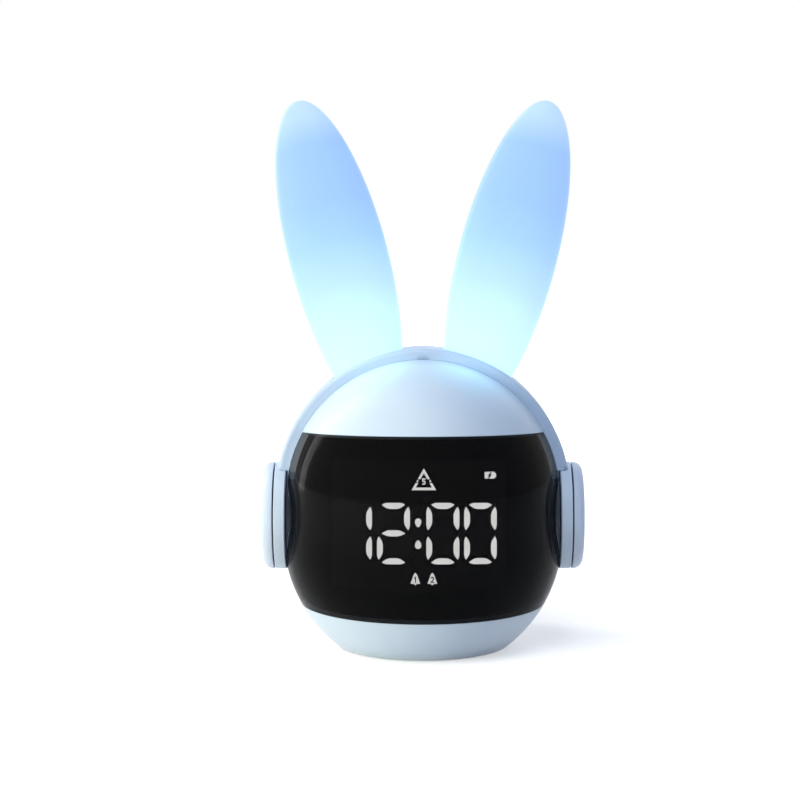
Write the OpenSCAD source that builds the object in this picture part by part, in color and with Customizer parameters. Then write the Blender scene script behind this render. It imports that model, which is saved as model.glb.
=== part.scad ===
// Kids' alarm clock with night light: a round body with a black wrap-around front panel,
// a headband with two ear cups, and two tall translucent ears that glow.
// The origin is at the middle of the foot, on the standing surface; the front faces -Y.

/* [Body] */
// Radius of the lower ball of the body
lower_r = 44; // [40:0.5:53]
// How much smaller the upper ball is
body_taper = 0.6; // [0.5:0.1:4]
// Height of the upper ball's centre above the lower one's
body_rise = 13; // [10:0.1:18]
// How much the standing surface cuts off the lower ball
foot_cut = 8.9; // [7:0.1:11]
// Wall of the two case shells
shell_wall = 2.4; // [1.8:0.1:3]
// Height of the case's lower edge above the standing surface
foot_gap = 0.4; // [0.2:0.1:1.2]
// Overlap of the shells' tongue across the seam
tongue_l = 1.5; // [1:0.1:2.5]

/* [Front panel] */
// Thickness of the smoked panel
panel_t = 2; // [1.2:0.1:2.6]
// Wall of the front shell behind the panel
seat_wall = 1.6; // [1.2:0.1:2]
// Height of the panel's lower edge
panel_bottom_z = 14; // [12:0.5:20]
// Height of the panel's upper edge, above the case seam
panel_top_z = 67.8; // [66:0.1:72]
// Rise of the panel's upper edge towards the front, in degrees
panel_top_tilt = 4; // [0:0.5:6]
// Shell border between the panel and the headband
panel_rim = 1; // [1:0.1:4]
// Shell border between the panel and the case seam
panel_seam = 1.5; // [1:0.1:3]
// Gap around the panel
panel_fit = 0.1; // [0.05:0.05:0.3]

/* [Headband] */
// Width of the headband
band_w = 15; // [14:0.5:20]
// Height of the headband over the case
band_t = 2.6; // [2.4:0.1:5]
// Radius of the headband's edges
band_round = 1.3; // [0.5:0.1:1.6]
// Radius of the headband's locating pegs
band_peg_r = 1.5; // [1:0.1:2]

/* [Ears] */
// Length of the ear's full oval, of which the case hides the lower end
ear_l = 101.4; // [84:0.2:120]
// Greatest width of an ear
ear_w = 30.8; // [26:0.2:34]
// Greatest depth of an ear
ear_d = 14.5; // [12:0.5:17]
// Wall of the ear
ear_wall = 1.6; // [1.2:0.1:2]
// Lean of the ears, in degrees from upright
ear_tilt = 14.7; // [8:0.1:18]
// Distance of the ear's root from the middle
ear_x = 17.75; // [16:0.05:20]
// Height of the ear's root over the case
ear_lift = 1.93; // [1.6:0.01:3.2]
// How far the ear's oval reaches below its root
ear_sink = 17.9; // [15:0.1:20]
// Gap around the ear in the headband and the case
ear_fit = 0.15; // [0.1:0.05:0.3]

/* [Ear cups] */
// Height of the ear cups' centre above the lower ball's
cup_rise = 6; // [3:0.1:9]
// Radius of the ear cups
cup_r = 16.8; // [15:0.1:17.5]
// How deep the cup's inner face lies within the lower ball
cup_sink = 1.2; // [0.4:0.1:2]
// Thickness of the cup
cup_t = 3.4; // [3:0.1:5]
// Step from the cup's edge in to its neck
neck_step = 2; // [1.5:0.1:2.6]
// Step from the neck in to the plug that passes through the case
plug_step = 3; // [2:0.1:3.6]
// Thickness of the push cap
cap_t = 3.4; // [3.4:0.05:5]
// Radius of the push cap's outer edge
cap_round = 2.9; // [2:0.1:3.2]
// Seam between the push cap and the cup
cap_seam = 0.45; // [0.4:0.05:1]
// Travel of the push cap
cap_travel = 0.35; // [0.2:0.05:0.4]

/* [Display] */
// Height of a digit
digit_h = 18.8; // [16:0.2:20]
// Width of a digit
digit_w = 10; // [8.5:0.1:10.5]
// Space between two digits
digit_gap = 1.27; // [0.8:0.01:2]
// Space between the colon and the digits beside it
colon_room = 2.35; // [2:0.05:3]
// Width of a segment
segment_t = 2.1; // [1.6:0.1:2.4]
// Height of the digits' centre above the panel's middle
digit_rise = 1.3; // [-1:0.1:3]
// Sideways place of the colon
colon_x = -1.45; // [-3:0.05:0]
// Width of the display block beside the digits
display_side = 3.38; // [2.5:0.01:4]
// Height of the display block
display_h = 40; // [38:0.5:41]
// Height of the display block's centre above the digits'
display_rise = 1.4; // [0.5:0.1:2]

/* [Rear plate] */
// Radius of the round rear plate
plate_r = 22.5; // [21.5:0.1:23.5]
// Thickness of the rear plate
plate_t = 2; // [1.6:0.1:2.4]
// Height of the rear plate's centre above the lower ball's
plate_rise = 1.9; // [0:0.1:4]
// How deep the rear plate lies in the case, at its sides
plate_sink = 0.6; // [0.3:0.1:1]
// Radius of the rear buttons
button_r = 2.4; // [2:0.1:2.6]
// Distance from one rear button to the next
button_pitch = 6.3; // [6:0.05:6.4]
// Distance of the button row from the plate's upper edge
button_drop = 11.1; // [10.8:0.1:11.4]
// Height of the buttons above the plate
button_proud = 1.2; // [0.8:0.1:1.6]
// Travel of the rear buttons
button_travel = 0.5; // [0.3:0.05:0.5]
// Travel of the power switch
power_travel = 2; // [1:0.1:2.4]

/* [Base and battery] */
// Rim of the case around the base plate
base_rim = 2.05; // [1.6:0.05:3]
// Thickness of the base plate
base_t = 2; // [1.6:0.1:2.4]
// Length of the battery pack
cell_l = 40; // [34:1:42]
// Width of the battery pack
cell_w = 30; // [26:1:31]
// Thickness of the battery pack
cell_t = 8; // [5:0.5:8.5]
// Border of the base plate around the rubber foot pad
pad_border = 4; // [3.9:0.1:6]

/* [Fasteners and boards] */
// Radius of a case screw's thread
screw_r = 1.15; // [1:0.05:1.3]
// Radius of a case screw's head
screw_head_r = 2.1; // [1.9:0.05:2.2]
// Radius of a small screw's thread
small_screw_r = 0.75; // [0.6:0.05:0.85]
// Radius of a small screw's head
small_head_r = 1.4; // [1.2:0.05:1.5]
// Thickness of the circuit boards
board_t = 1.2; // [1:0.1:1.6]
// Gap between pieces that lie in each other
fit = 0.1; // [0.05:0.01:0.15]
// Gap around pieces that slide
slide_fit = 0.06; // [0.04:0.01:0.1]

/* [Hidden] */
$fn = 64;
// Longer than anything in the model, and how far a cut runs past the piece that it cuts
far = 200;
over = 1;
// Where revolved faces start and end, clear of every opening
meridian = 50;
// Depth of the cone's corners in the two balls, and a gap too small to see
cone_sink = 0.1;
hair = 0.05;
// Share of a pan head's radius that is its height
head_share = 0.7;
shell_blue = [0.78, 0.87, 0.96];
ear_blue = [0.66, 0.82, 1];
smoke = [0.07, 0.07, 0.08];
soft_white = [0.93, 0.93, 0.91];
board_green = [0.1, 0.36, 0.22];
wrap_blue = [0.2, 0.35, 0.6];
steel = [0.7, 0.71, 0.73];
dark = [0.14, 0.14, 0.15];

// Body, and the slope of the cone that joins its two balls
upper_r = lower_r - body_taper;
lower_z = lower_r - foot_cut;
upper_z = lower_z + body_rise;
flare = asin(body_taper / body_rise);
panel_depth = panel_t + panel_fit;
seat_inset = panel_depth + seat_wall;
seat_overlap = 2;
tongue_t = 1;
tongue_in = shell_wall - tongue_t - fit;

// Headband, and its pegs: their length in the case and their distance from the band's edge
band_r = upper_r + band_t;
band_facets = 144;
band_peg_in = 1.5;
band_peg_y = band_w / 2 - 3.5;
band_peg_rise = 5;

// Ear: half axes of the oval, and distances along its axis from the root, up being positive
ear_root_z = upper_z + sqrt(pow(upper_r + ear_lift, 2) - pow(ear_x, 2));
ear_half = [ear_w / 2, ear_d / 2, ear_l / 2];
ear_mid = ear_half[2] - ear_sink;
stem_top = -3.4;
stem_step = 0.18;
stem_share = sqrt(1 - pow((ear_mid - stem_top) / ear_half[2], 2));
stem_half = [ear_half[0] * stem_share - stem_step, (ear_half[0] * stem_share - stem_step) * ear_d / ear_w];
stem_end = -9.5;
slot_extra = 5;
ear_boss_w = stem_half[0] - 3.3;
ear_boss_r = 1.7;
ear_boss_l = 6;
clamp_margin = [2, 2.3];
clamp_floor_t = 2.4;
clamp_bottom = stem_end - clamp_floor_t;
clamp_rim = 2;
led_window = [2 * (ear_boss_w - 2), 5];
led_board = [2 * ear_boss_w + 4.9, 9];
ear_led = [3.5, 2.8, 1.4];
ear_led_pitch = led_window[0] / 2 - 0.7;

// Ear cup, along X from the middle
cup_z = lower_z + cup_rise;
cup_x = lower_r - cup_sink;
neck_r = cup_r - neck_step;
plug_r = neck_r - plug_step;
notch_gap = 0.3;
cup_face = cup_x + cup_t;
cap_inner = cup_face + cap_seam;
cap_outer = cap_inner + cap_t;
cap_skin = 1.8;
cup_wall = 1.8;
cup_recess = 1.2;
cup_floor = cup_face - cup_recess;
cup_floor_t = 1.6;
cup_floor_in = cup_floor - cup_floor_t;
plug_end = cup_x - 5.3;
plug_wall = 1.8;
stem_r = 3;
sleeve_r = 5;
sleeve_end = cup_floor - 4;
hook_y = (sleeve_r + plug_r - plug_wall) / 2 - 0.5;
hook_w = 3;
hook_t = 1.2;
hook_room = 0.4;
hook_l = 1;
barb = 0.6;
retainer_r = plug_r + 1.8;
retainer_t = 1.2;
retainer_x = plug_end - retainer_t;
cup_board_x = retainer_x - board_t;
cup_board_r = plug_r - 0.8;
tact = 6;
tact_h = 3.5;
tact_room = 0.3;
tact_knob_r = 1.7;
tact_knob_h = 0.6;
cup_boss_r = 2.2;
cup_screw_z = plug_r - plug_wall - cup_boss_r / 2;
cup_engage = 4;
cap_stem_end = retainer_x + tact_h + tact_knob_h + cap_travel + hair;

// Display
lens_gap = 0.35;
lens_inset = panel_t + lens_gap;
diffuser_t = 1.4;
digit_pitch = digit_w + digit_gap;
digits_half = digit_w + colon_room + digit_pitch;
display_x = colon_x;
display_w = 2 * (digits_half + display_side);
digit_z = (panel_bottom_z + panel_top_z) / 2 + digit_rise;
display_z = digit_z + display_rise;
display_room_gap = 0.3;
lug_w = 8;
lug_pitch = 11;
lug_t = 2;
lug_boss_r = 2.2;
lug_engage = 3;
lug_screw_x = display_w / 2 - display_x + 1.95;
lug_reach = lug_screw_x + 2;
lug_room = 0.5;
display_back = lug_t - sqrt(pow(upper_r - seat_inset - lug_room, 2) - pow(lug_reach, 2));
board_corner = 2.4;
board_engage = 4;
led_chip = [1.6, 0.6, 0.8];

// Digits: gaps and cut corners of the segments
segment_gap = 0.45;
corner_x = 0.3;
corner_z = 0.5;
end_cut = segment_t * 0.55;
middle_cut = segment_t * 0.45;
segment_w = digit_w - segment_t - segment_gap * 2;
segment_h = digit_h / 2 - segment_t - segment_gap;
segment_x = (digit_w - segment_t) / 2;
segment_side_z = segment_h / 2 + segment_t / 2 + segment_gap * 0.7;
segment_end_z = (digit_h - segment_t) / 2;
// Where a lamp lies behind each segment
led_places = [
    [0, segment_end_z], [0, 0], [0, -segment_end_z],
    for (x = [-segment_x, segment_x], z = [-segment_end_z / 2, segment_end_z / 2]) [x, z],
];
// Which segments show 12:00, counted clockwise from the top with the middle one last
lit_in_digit = [[1, 2], [0, 1, 6, 4, 3], [0, 1, 2, 3, 4, 5], [0, 1, 2, 3, 4, 5]];
colon_r = 1;
colon_rise = digit_h * 0.19;
// Marks around the digits, by width and height, counted from the colon
icon_x = 1.7;
bell = [3.2, 3.5];
bell_shoulder = [bell[0] / 3, bell[1] * 0.6];
bell_pitch = 5.06;
bells_z = -digit_h / 2 - 6;
triangle = [7.4, 6.7];
triangle_z = digit_h / 2 + 3.1;
battery_mark = [3.6, 2.1];
battery_mark_at = [21.4, digit_h / 2 + 6.9];

// Case screws, by their place across and up
case_screws_at = [
    for (side = [-1, 1]) each [
        [side * (lower_r - 12), lower_z - 14.5],
        [side * (upper_r - 20.3), panel_top_z + 1.2],
    ]
];
post_r = 3.2;
screw_engage = 8;
screw_end = 1;
head_depth = 4;
head_room = 0.2;

// Base
base_bottom = foot_gap;
base_top = base_bottom + base_t;
base_r = sqrt(pow(lower_r, 2) - pow(lower_z - foot_gap, 2)) - base_rim;
ledge_t = 2;
ledge_in = base_r - 3.5;
tongue_z = base_top + ledge_t + 1;
base_screw_r = base_r - 2;
base_boss_r = 2.4;
base_boss_l = 6;
base_screw_angles = [60, 120, 240, 300];
base_engage = 3;
pad_r = base_r - pad_border;
pad_groove = 0.6;
pad_top = base_bottom + pad_groove;
tray_wall = 1.4;
tray_gap = 0.3;
tray_z = base_top + ledge_t + 0.2;
tray_wall_h = 5;
tray_post_r = 2.6;
tray_peg_r = 1.2;
tray_peg_x = 12;

// Rear plate stack, along Y from the seam
plate_z = lower_z + plate_rise;
plate_y = sqrt(pow(lower_r, 2) - pow(plate_r, 2)) - plate_sink;
plate_in = plate_y - plate_t;
plate_cut = 20;
ledge_w = 2.2;
collar_wall = 1.6;
collar_web = 3;
plate_screw_r = plate_r - 2.3;
plate_screw_angles = [90, 190, 350];
plate_boss_r = 2.2;
plate_boss_l = 4;
plate_head_sink = 0.9;
plate_engage = 3.2;
main_y = plate_in - 4.8;
main_inner = main_y - board_t;
main_r = plate_r - 2.9;
main_post_r = 1.8;
main_post_out = main_r - 2.9;
main_post_angles = [16, 164, 219, 321];
main_engage = 3;
button_row_z = plate_r - button_drop;
flange_r = button_r + 0.5;
flange_t = 1;
flange_top = plate_in - fit;
small_tact = 4;
small_tact_h = 2.6;
small_tact_knob_r = 1;
grille_hole_r = 0.7;
grille_pitch = 2.5;
grille_border = 4;
speaker_drop = 0.5;
speaker_margin = 3.4;
speaker_t = 3.6;
speaker_wall = 1;
speaker_hole_r = 4.2;
cone_t = 0.8;
cone_dish = [3, 0.4];
cone_gap = 1.4;
magnet = [4.1, 2.6];
magnet_out = 0.8;
port_z = 8.1 - plate_r;
speaker_z = (button_row_z + port_z) / 2 - speaker_drop;
speaker_r = (button_row_z - port_z) / 2 - speaker_margin;
usb_x = -5;
usb_size = [9, 3.3];
usb_wall = 0.35;
usb_sink = 0.5;
usb_tongue = [6.66, 4, 0.7];
switch_x = 5.5;
switch_body = [7, 3.4, 2.8];
switch_knob = [1.6, 1.2];
switch_room = 0.2;
switch_slot = 2;
knob_proud = 1;

// Chips on the main board's inner face, by place and by size
chip_out = main_r - 10.6;
chips = [[[0, 2], [8, 1.2, 8]], [[-chip_out, -7], [5, 1, 4]], [[chip_out - over, -8], [4, 1, 4]]];

// Plug sockets on the boards, and the leads between them
plug = [6, 3.2, 4];
top_plugs_x = [-9, 0, 9];
top_plugs_z = 13;
low_plug_z = -15;
display_plug_rise = 10.4;
lead_r = 0.7;
lead_sides = 8;
lead_steps = 14;
plug_mouth = main_inner - plug[1];
ear_lead_x = 10.5;
cup_lead_x = 7.5;
// How far each lead runs straight on, at its start and at its plug
battery_lead_reach = [4, 4];
display_lead_reach = [16, 16];
ear_lead_reach = [14, 14];
cup_lead_reach = [14, 12];

// ---------------------------------------------------------------- shapes that repeat

// Round bars along +X and +Y, turned so that their own seam lies off the case seam
module bar_x(r, l) rotate([meridian, 0, 0]) rotate([0, 90, 0]) cylinder(r = r, h = l);
module bar_y(r, l) rotate([-90, 0, 0]) rotate([0, 0, meridian]) cylinder(r = r, h = l);

module front_half() translate([-far / 2, -far, -far / 2]) cube([far, far, far * 2]);
module rear_half() translate([-far / 2, 0, -far / 2]) cube([far, far, far * 2]);

// Half outline of the body, drawn inside its outer surface by the inset: two balls and the cone
// that joins them, whose corners lie just inside both balls
module body_outline(inset) {
    low = lower_r - inset - cone_sink;
    high = upper_r - inset - cone_sink;
    intersection() {
        union() {
            translate([0, lower_z]) circle(lower_r - inset);
            translate([0, upper_z]) circle(upper_r - inset);
            polygon([
                [-over, lower_z],
                [low * cos(flare), lower_z + low * sin(flare)],
                [high * cos(flare), upper_z + high * sin(flare)],
                [-over, upper_z],
            ]);
        }
        translate([0, -far / 4]) square([far / 2, far]);
    }
}

// The revolved faces start and end at a meridian clear of every opening
module body_solid(inset) rotate([0, 0, meridian]) rotate_extrude() body_outline(inset);

// A skin of the body between two insets, with a flat lower edge
module body_skin(outer, inner) rotate([0, 0, meridian]) rotate_extrude() difference() {
    body_outline(outer);
    body_outline(inner);
    translate([-over, -far + base_bottom]) square(far);
}

// Puts its children on an ear's axis, with z = 0 at the ear's root
module at_ear(side) translate([side * ear_x, 0, ear_root_z]) rotate([0, side * ear_tilt, 0]) children();

// Puts its children on a cup's axis: +X points outwards, the origin is in the case's middle
module at_cup(side) translate([0, 0, cup_z]) mirror([side < 0 ? 1 : 0, 0, 0]) children();

// Puts its children on the rear plate, y still counted from the seam
module at_plate() translate([0, 0, plate_z]) children();

// A screw with a pan head, the head's underside at the origin and the thread along +Z
module screw(r, head_r, l) {
    color(steel) {
        cylinder(r = r, h = l);
        translate([0, 0, -head_r * head_share]) cylinder(r = head_r, h = head_r * head_share);
    }
}

// The ear's oval, grown on every side
module ear_oval(grow) {
    translate([0, 0, ear_mid])
        scale([ear_half[0] + grow, ear_half[1] + grow, ear_half[2] + grow]) rotate(meridian) sphere(1);
}

// The ear's oval stem, from one height to another
module ear_stem(grow, from, to) {
    translate([0, 0, from])
        scale([stem_half[0] + grow, stem_half[1] + grow, 1])
            rotate(meridian) cylinder(r = 1, h = to - from);
}

// Room for an ear in whatever it passes through
module ear_slot(side) at_ear(side) {
    difference() {
        ear_oval(ear_fit);
        translate([-far / 2, -far / 2, stem_top - ear_fit - far]) cube(far);
    }
    ear_stem(ear_fit, stem_end - slot_extra, stem_top + over);
}

// ---------------------------------------------------------------- case

// Everything in front of the seam that the panel covers, grown at its edges
module panel_zone(grow, notch_r) {
    difference() {
        translate([-far / 2, -far / 2, panel_bottom_z - grow])
            cube([far, far / 2 - panel_seam + grow, far / 2]);
        translate([0, 0, panel_top_z + grow]) rotate([-panel_top_tilt, 0, 0])
            translate([-far / 2, -far, 0]) cube([far, far * 2, far]);
        translate([-far / 2, -(band_w / 2 + panel_rim) + grow, cup_z]) cube([far, far, far]);
        translate([-far / 2, 0, cup_z]) bar_x(notch_r, far);
    }
}

// Tubes for the case screws, from the seam to the wall of the shell
module case_posts(side) {
    intersection() {
        for (p = case_screws_at)
            translate([p[0], side < 0 ? -far / 2 : 0, p[1]]) bar_y(post_r, far / 2);
        body_solid(side < 0 ? seat_inset - seat_wall / 2 : shell_wall / 2);
    }
}

// The skin that both shells are cut from, with the ledge that carries the base plate
module case_skin() rotate([0, 0, meridian]) rotate_extrude() difference() {
    body_outline(0);
    difference() {
        body_outline(shell_wall);
        translate([ledge_in, base_top]) square([far, ledge_t]);
    }
    translate([-over, -far + base_bottom]) square(far);
    translate([-over, -over]) square([base_r + fit + over, base_top + over]);
}

// Bosses for the base screws
module base_bosses(side) {
    intersection() {
        for (a = base_screw_angles) rotate([0, 0, a * side])
            if (a < 180) translate([base_screw_r, 0, base_top]) cylinder(r = base_boss_r, h = base_boss_l);
        body_solid(shell_wall / 2);
    }
}

// What both shells leave open: the ears, the cups, the base screws, the headband's pegs
module case_openings() {
    for (a = base_screw_angles)
        rotate([0, 0, a]) translate([base_screw_r, 0, 0])
            cylinder(r = small_screw_r, h = base_top + base_boss_l - over);
    for (side = [-1, 1]) {
        ear_slot(side);
        at_cup(side) translate([plug_end - over, 0, 0]) bar_x(plug_r + fit, far);
    }
    band_pegs(fit);
}

module front_shell() color(shell_blue) {
    difference() {
        union() {
            difference() {
                intersection() {
                    case_skin();
                    front_half();
                }
                panel_zone(panel_fit, neck_r + notch_gap - panel_fit);
            }
            // The seat behind the panel
            intersection() {
                body_skin(panel_depth, seat_inset);
                panel_zone(seat_overlap, retainer_r + notch_gap);
                front_half();
            }
            // The tongue that enters the rear shell
            intersection() {
                body_skin(tongue_in, tongue_in + tongue_t);
                translate([-far / 2, -over, tongue_z]) cube([far, tongue_l + over, far]);
            }
            base_bosses(-1);
            case_posts(-1);
            display_bosses();
        }
        case_openings();
        display_room(display_room_gap);
        for (p = case_screws_at)
            translate([p[0], -screw_engage, p[1]]) bar_y(screw_r, far);
        at_lug_screws() translate([0, display_back - lug_t - lug_engage, 0]) bar_y(small_screw_r, far);
    }
}

module rear_shell() color(shell_blue) {
    difference() {
        union() {
            difference() {
                intersection() {
                    case_skin();
                    rear_half();
                }
                // The groove for the front shell's tongue
                intersection() {
                    body_solid(tongue_in - fit);
                    translate([-far / 2, -over, tongue_z - fit]) cube([far, over + tongue_l + fit, far]);
                }
            }
            base_bosses(1);
            case_posts(1);
            plate_collar();
        }
        case_openings();
        at_plate() {
            translate([0, plate_in, 0]) bar_y(plate_r + fit, plate_cut);
            translate([0, plate_in - plate_boss_l - over, 0]) bar_y(plate_r - ledge_w, plate_cut);
            for (a = plate_screw_angles)
                plate_screw_at(a) translate([0, plate_in - plate_engage, 0])
                    bar_y(small_screw_r, plate_cut);
        }
        // Screw holes with sunk heads
        for (p = case_screws_at) translate([p[0], 0, p[1]]) {
            translate([0, -over, 0]) bar_y(screw_r + fit, far);
            translate([0, head_depth, 0]) bar_y(screw_head_r + head_room, far);
        }
    }
}

// The frame around the rear plate, with its ledge and screw bosses
module plate_collar() {
    intersection() {
        at_plate() difference() {
            translate([0, plate_in - plate_boss_l, 0]) bar_y(plate_r + collar_wall, plate_cut);
            translate([0, plate_in - plate_boss_l - over, 0]) {
                bar_y(plate_r - ledge_w, plate_cut);
                difference() {
                    bar_y(plate_r + collar_wall + over, collar_web);
                    for (a = plate_screw_angles) plate_screw_at(a) bar_y(plate_boss_r, collar_web);
                }
            }
        }
        body_solid(shell_wall / 2);
    }
}

module plate_screw_at(angle) {
    translate([plate_screw_r * cos(angle), 0, plate_screw_r * sin(angle)]) children();
}

module front_panel() color(smoke) {
    difference() {
        intersection() {
            body_solid(0);
            panel_zone(0, neck_r + notch_gap);
        }
        body_solid(panel_t);
    }
}

// ---------------------------------------------------------------- headband

module band_section() {
    inner_w = band_w / 2 - band_round;
    translate([0, -band_w / 2]) square([band_r - band_round, band_w]);
    translate([0, -inner_w]) square([band_r, inner_w * 2]);
    for (y = [-inner_w, inner_w]) translate([band_r - band_round, y]) circle(band_round);
}

// Pegs under the top and near both ends of the headband, with their far ends inside the band
module band_pegs(grow) {
    end_z = cup_z + cup_r + band_peg_rise;
    end_x = sqrt(pow(upper_r, 2) - pow(end_z - upper_z, 2));
    length = shell_wall + band_peg_in + over;
    for (y = [-band_peg_y, band_peg_y]) {
        translate([0, y, upper_z + upper_r - shell_wall - band_peg_in])
            cylinder(r = band_peg_r + grow, h = length);
        for (side = [-1, 1])
            translate([side * (end_x - shell_wall - band_peg_in), y, end_z])
                rotate([0, side * 90, 0]) cylinder(r = band_peg_r + grow, h = length);
    }
}

module headband() color(shell_blue) {
    // The band is thin, so that its facets are finer than elsewhere
    $fn = band_facets;
    difference() {
        union() {
            difference() {
                translate([0, 0, upper_z]) rotate([90, 0, 0]) rotate_extrude() difference() {
                    band_section();
                    circle(upper_r + hair);
                }
                translate([-far / 2, -far / 2, cup_z - far]) cube([far, far, far]);
                translate([-far / 2, 0, cup_z]) bar_x(cup_r + fit, far);
            }
            band_pegs(0);
        }
        for (side = [-1, 1]) ear_slot(side);
    }
}

// ---------------------------------------------------------------- ears

module ear(side) color(ear_blue) at_ear(side) {
    difference() {
        union() {
            difference() {
                ear_oval(0);
                translate([-far / 2, -far / 2, stem_top - far]) cube(far);
            }
            ear_stem(0, stem_end, stem_top + over);
        }
        ear_oval(-ear_wall);
        ear_stem(-ear_wall, stem_end - over, stem_top + over * 2);
    }
    for (w = [-ear_boss_w, ear_boss_w]) difference() {
        intersection() {
            translate([w, 0, stem_end]) cylinder(r = ear_boss_r, h = ear_boss_l);
            ear_stem(-ear_wall / 2, stem_end - over, stem_top + over * 2);
        }
        translate([w, 0, stem_end - over]) cylinder(r = small_screw_r, h = ear_boss_l);
    }
}

// A box around the stem's end: its rim follows the inside of the case, its floor carries the board
module ear_clamp(side) color(soft_white) {
    intersection() {
        at_ear(side) difference() {
            slab(stem_half[0] + clamp_margin[0], stem_half[1] + clamp_margin[1], clamp_bottom, clamp_rim);
            slab(stem_half[0] + fit, stem_half[1] + fit, stem_end, clamp_rim + over);
            slab(led_window[0] / 2, led_window[1] / 2, clamp_bottom - over, 0);
            for (w = [-ear_boss_w, ear_boss_w])
                translate([w, 0, clamp_bottom - over])
                    cylinder(r = small_screw_r + fit, h = clamp_floor_t + over * 2);
        }
        body_solid(shell_wall + hair);
    }
}

// A box centred on the axis, by its half width and half depth, from one height to another
module slab(half_w, half_d, from, to) {
    translate([-half_w, -half_d, from]) cube([half_w * 2, half_d * 2, to - from]);
}

module ear_board(side) color(soft_white) at_ear(side) {
    difference() {
        translate([-led_board[0] / 2, -led_board[1] / 2, clamp_bottom - board_t])
            cube([led_board[0], led_board[1], board_t]);
        for (w = [-ear_boss_w, ear_boss_w])
            translate([w, 0, clamp_bottom - board_t - over])
                cylinder(r = small_screw_r + fit, h = board_t + over * 2);
    }
}

module ear_leds() color("white") {
    for (side = [-1, 1]) at_ear(side)
        for (w = [-ear_led_pitch / 2, ear_led_pitch / 2])
            translate([w - ear_led[0] / 2, -ear_led[1] / 2, clamp_bottom])
                cube(ear_led);
}

module ear_screws() {
    l = board_t + clamp_floor_t + ear_boss_l - over - screw_end / 2;
    for (side = [-1, 1]) at_ear(side)
        for (w = [-ear_boss_w, ear_boss_w])
            translate([w, 0, clamp_bottom - board_t]) screw(small_screw_r, small_head_r, l);
}

// ---------------------------------------------------------------- ear cups

module ear_cup(side) color(shell_blue) at_cup(side) {
    difference() {
        union() {
            // The disc and its neck end on the case
            difference() {
                union() {
                    translate([cup_x, 0, 0]) bar_x(cup_r, cup_t);
                    translate([plug_end, 0, 0]) bar_x(neck_r, cup_x - plug_end + hair);
                }
                translate([0, 0, -cup_z]) body_solid(-hair);
            }
            translate([plug_end, 0, 0]) bar_x(plug_r, cup_floor - cup_floor_t / 2 - plug_end);
        }
        translate([cup_floor, 0, 0]) bar_x(cup_r - cup_wall, cup_t);
        difference() {
            translate([plug_end - over, 0, 0]) bar_x(plug_r - plug_wall, cup_floor_in - plug_end + over);
            translate([sleeve_end, 0, 0]) bar_x(sleeve_r, cup_t * 2);
            for (z = [-cup_screw_z, cup_screw_z])
                translate([plug_end, 0, z]) bar_x(cup_boss_r, cup_t * 2);
        }
        translate([plug_end - over, 0, 0]) bar_x(stem_r + slide_fit, far);
        for (z = [-cup_screw_z, cup_screw_z])
            translate([plug_end - over, 0, z]) bar_x(small_screw_r, cup_floor_in - plug_end);
        for (y = [-1, 1])
            translate([cup_floor_in - over, y * hook_y - hook_t / 2 - hook_room - (y > 0 ? 0 : barb),
                       -hook_w / 2 - hook_room])
                cube([cup_floor_t + over * 2, hook_t + barb + hook_room * 2, hook_w + hook_room * 2]);
    }
}

// The push cap: a rounded disc, its guide stem and two hooks behind the cup's floor
module ear_cap(side) color(shell_blue) at_cup(side) {
    difference() {
        translate([cap_inner, 0, 0]) rotate([0, 90, 0]) rotate_extrude() cap_section();
        translate([cap_inner - over, 0, 0]) bar_x(cup_r - cap_skin, cap_t - cap_skin + over);
    }
    translate([cap_stem_end, 0, 0]) bar_x(stem_r, cap_outer - cap_skin - cap_stem_end + hair);
    hook_end = cup_floor_in - fit - hook_l;
    for (y = [-1, 1]) {
        translate([hook_end, y * hook_y - hook_t / 2, -hook_w / 2])
            cube([cap_outer - cap_skin - hook_end + hair, hook_t, hook_w]);
        translate([hook_end, y > 0 ? hook_y : -hook_y - hook_t / 2 - barb, -hook_w / 2])
            cube([hook_l, hook_t / 2 + barb, hook_w]);
    }
}

module cap_section() {
    square([cup_r - cap_round, cap_t]);
    square([cup_r, cap_t - cap_round]);
    intersection() {
        translate([cup_r - cap_round, cap_t - cap_round]) circle(cap_round);
        square(cup_r);
    }
}

module cup_retainer(side) color(soft_white) {
    difference() {
        intersection() {
            at_cup(side) translate([retainer_x, 0, 0]) bar_x(retainer_r, far);
            body_solid(shell_wall + hair);
        }
        at_cup(side) {
            translate([plug_end, 0, 0]) bar_x(plug_r + fit, far);
            translate([retainer_x - over, -tact / 2 - tact_room, -tact / 2 - tact_room])
                cube([retainer_t + over * 2, tact + tact_room * 2, tact + tact_room * 2]);
            for (z = [-cup_screw_z, cup_screw_z])
                translate([retainer_x - over, 0, z]) bar_x(small_screw_r + fit, retainer_t + over * 2);
        }
    }
}

module cup_board(side) color(board_green) at_cup(side) {
    difference() {
        translate([cup_board_x, 0, 0]) bar_x(cup_board_r, board_t);
        for (z = [-cup_screw_z, cup_screw_z])
            translate([cup_board_x - over, 0, z]) bar_x(small_screw_r + fit, board_t + over * 2);
    }
}

module cup_switches() color(dark) {
    for (side = [-1, 1]) at_cup(side) {
        translate([retainer_x, -tact / 2, -tact / 2]) cube([tact_h, tact, tact]);
        translate([retainer_x + tact_h, 0, 0]) bar_x(tact_knob_r, tact_knob_h);
    }
}

module cup_screws() {
    for (side = [-1, 1]) at_cup(side)
        for (z = [-cup_screw_z, cup_screw_z])
            translate([cup_board_x, 0, z]) rotate([0, 90, 0])
                screw(small_screw_r, small_head_r, board_t + retainer_t + cup_engage);
}

// ---------------------------------------------------------------- display

// The block's outline seen from the front, grown on every side
module display_room(grow) {
    translate([display_x - display_w / 2 - grow, -far / 2, display_z - display_h / 2 - grow])
        cube([display_w + grow * 2, far / 2 + display_back + over, display_h + grow * 2]);
}

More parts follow.
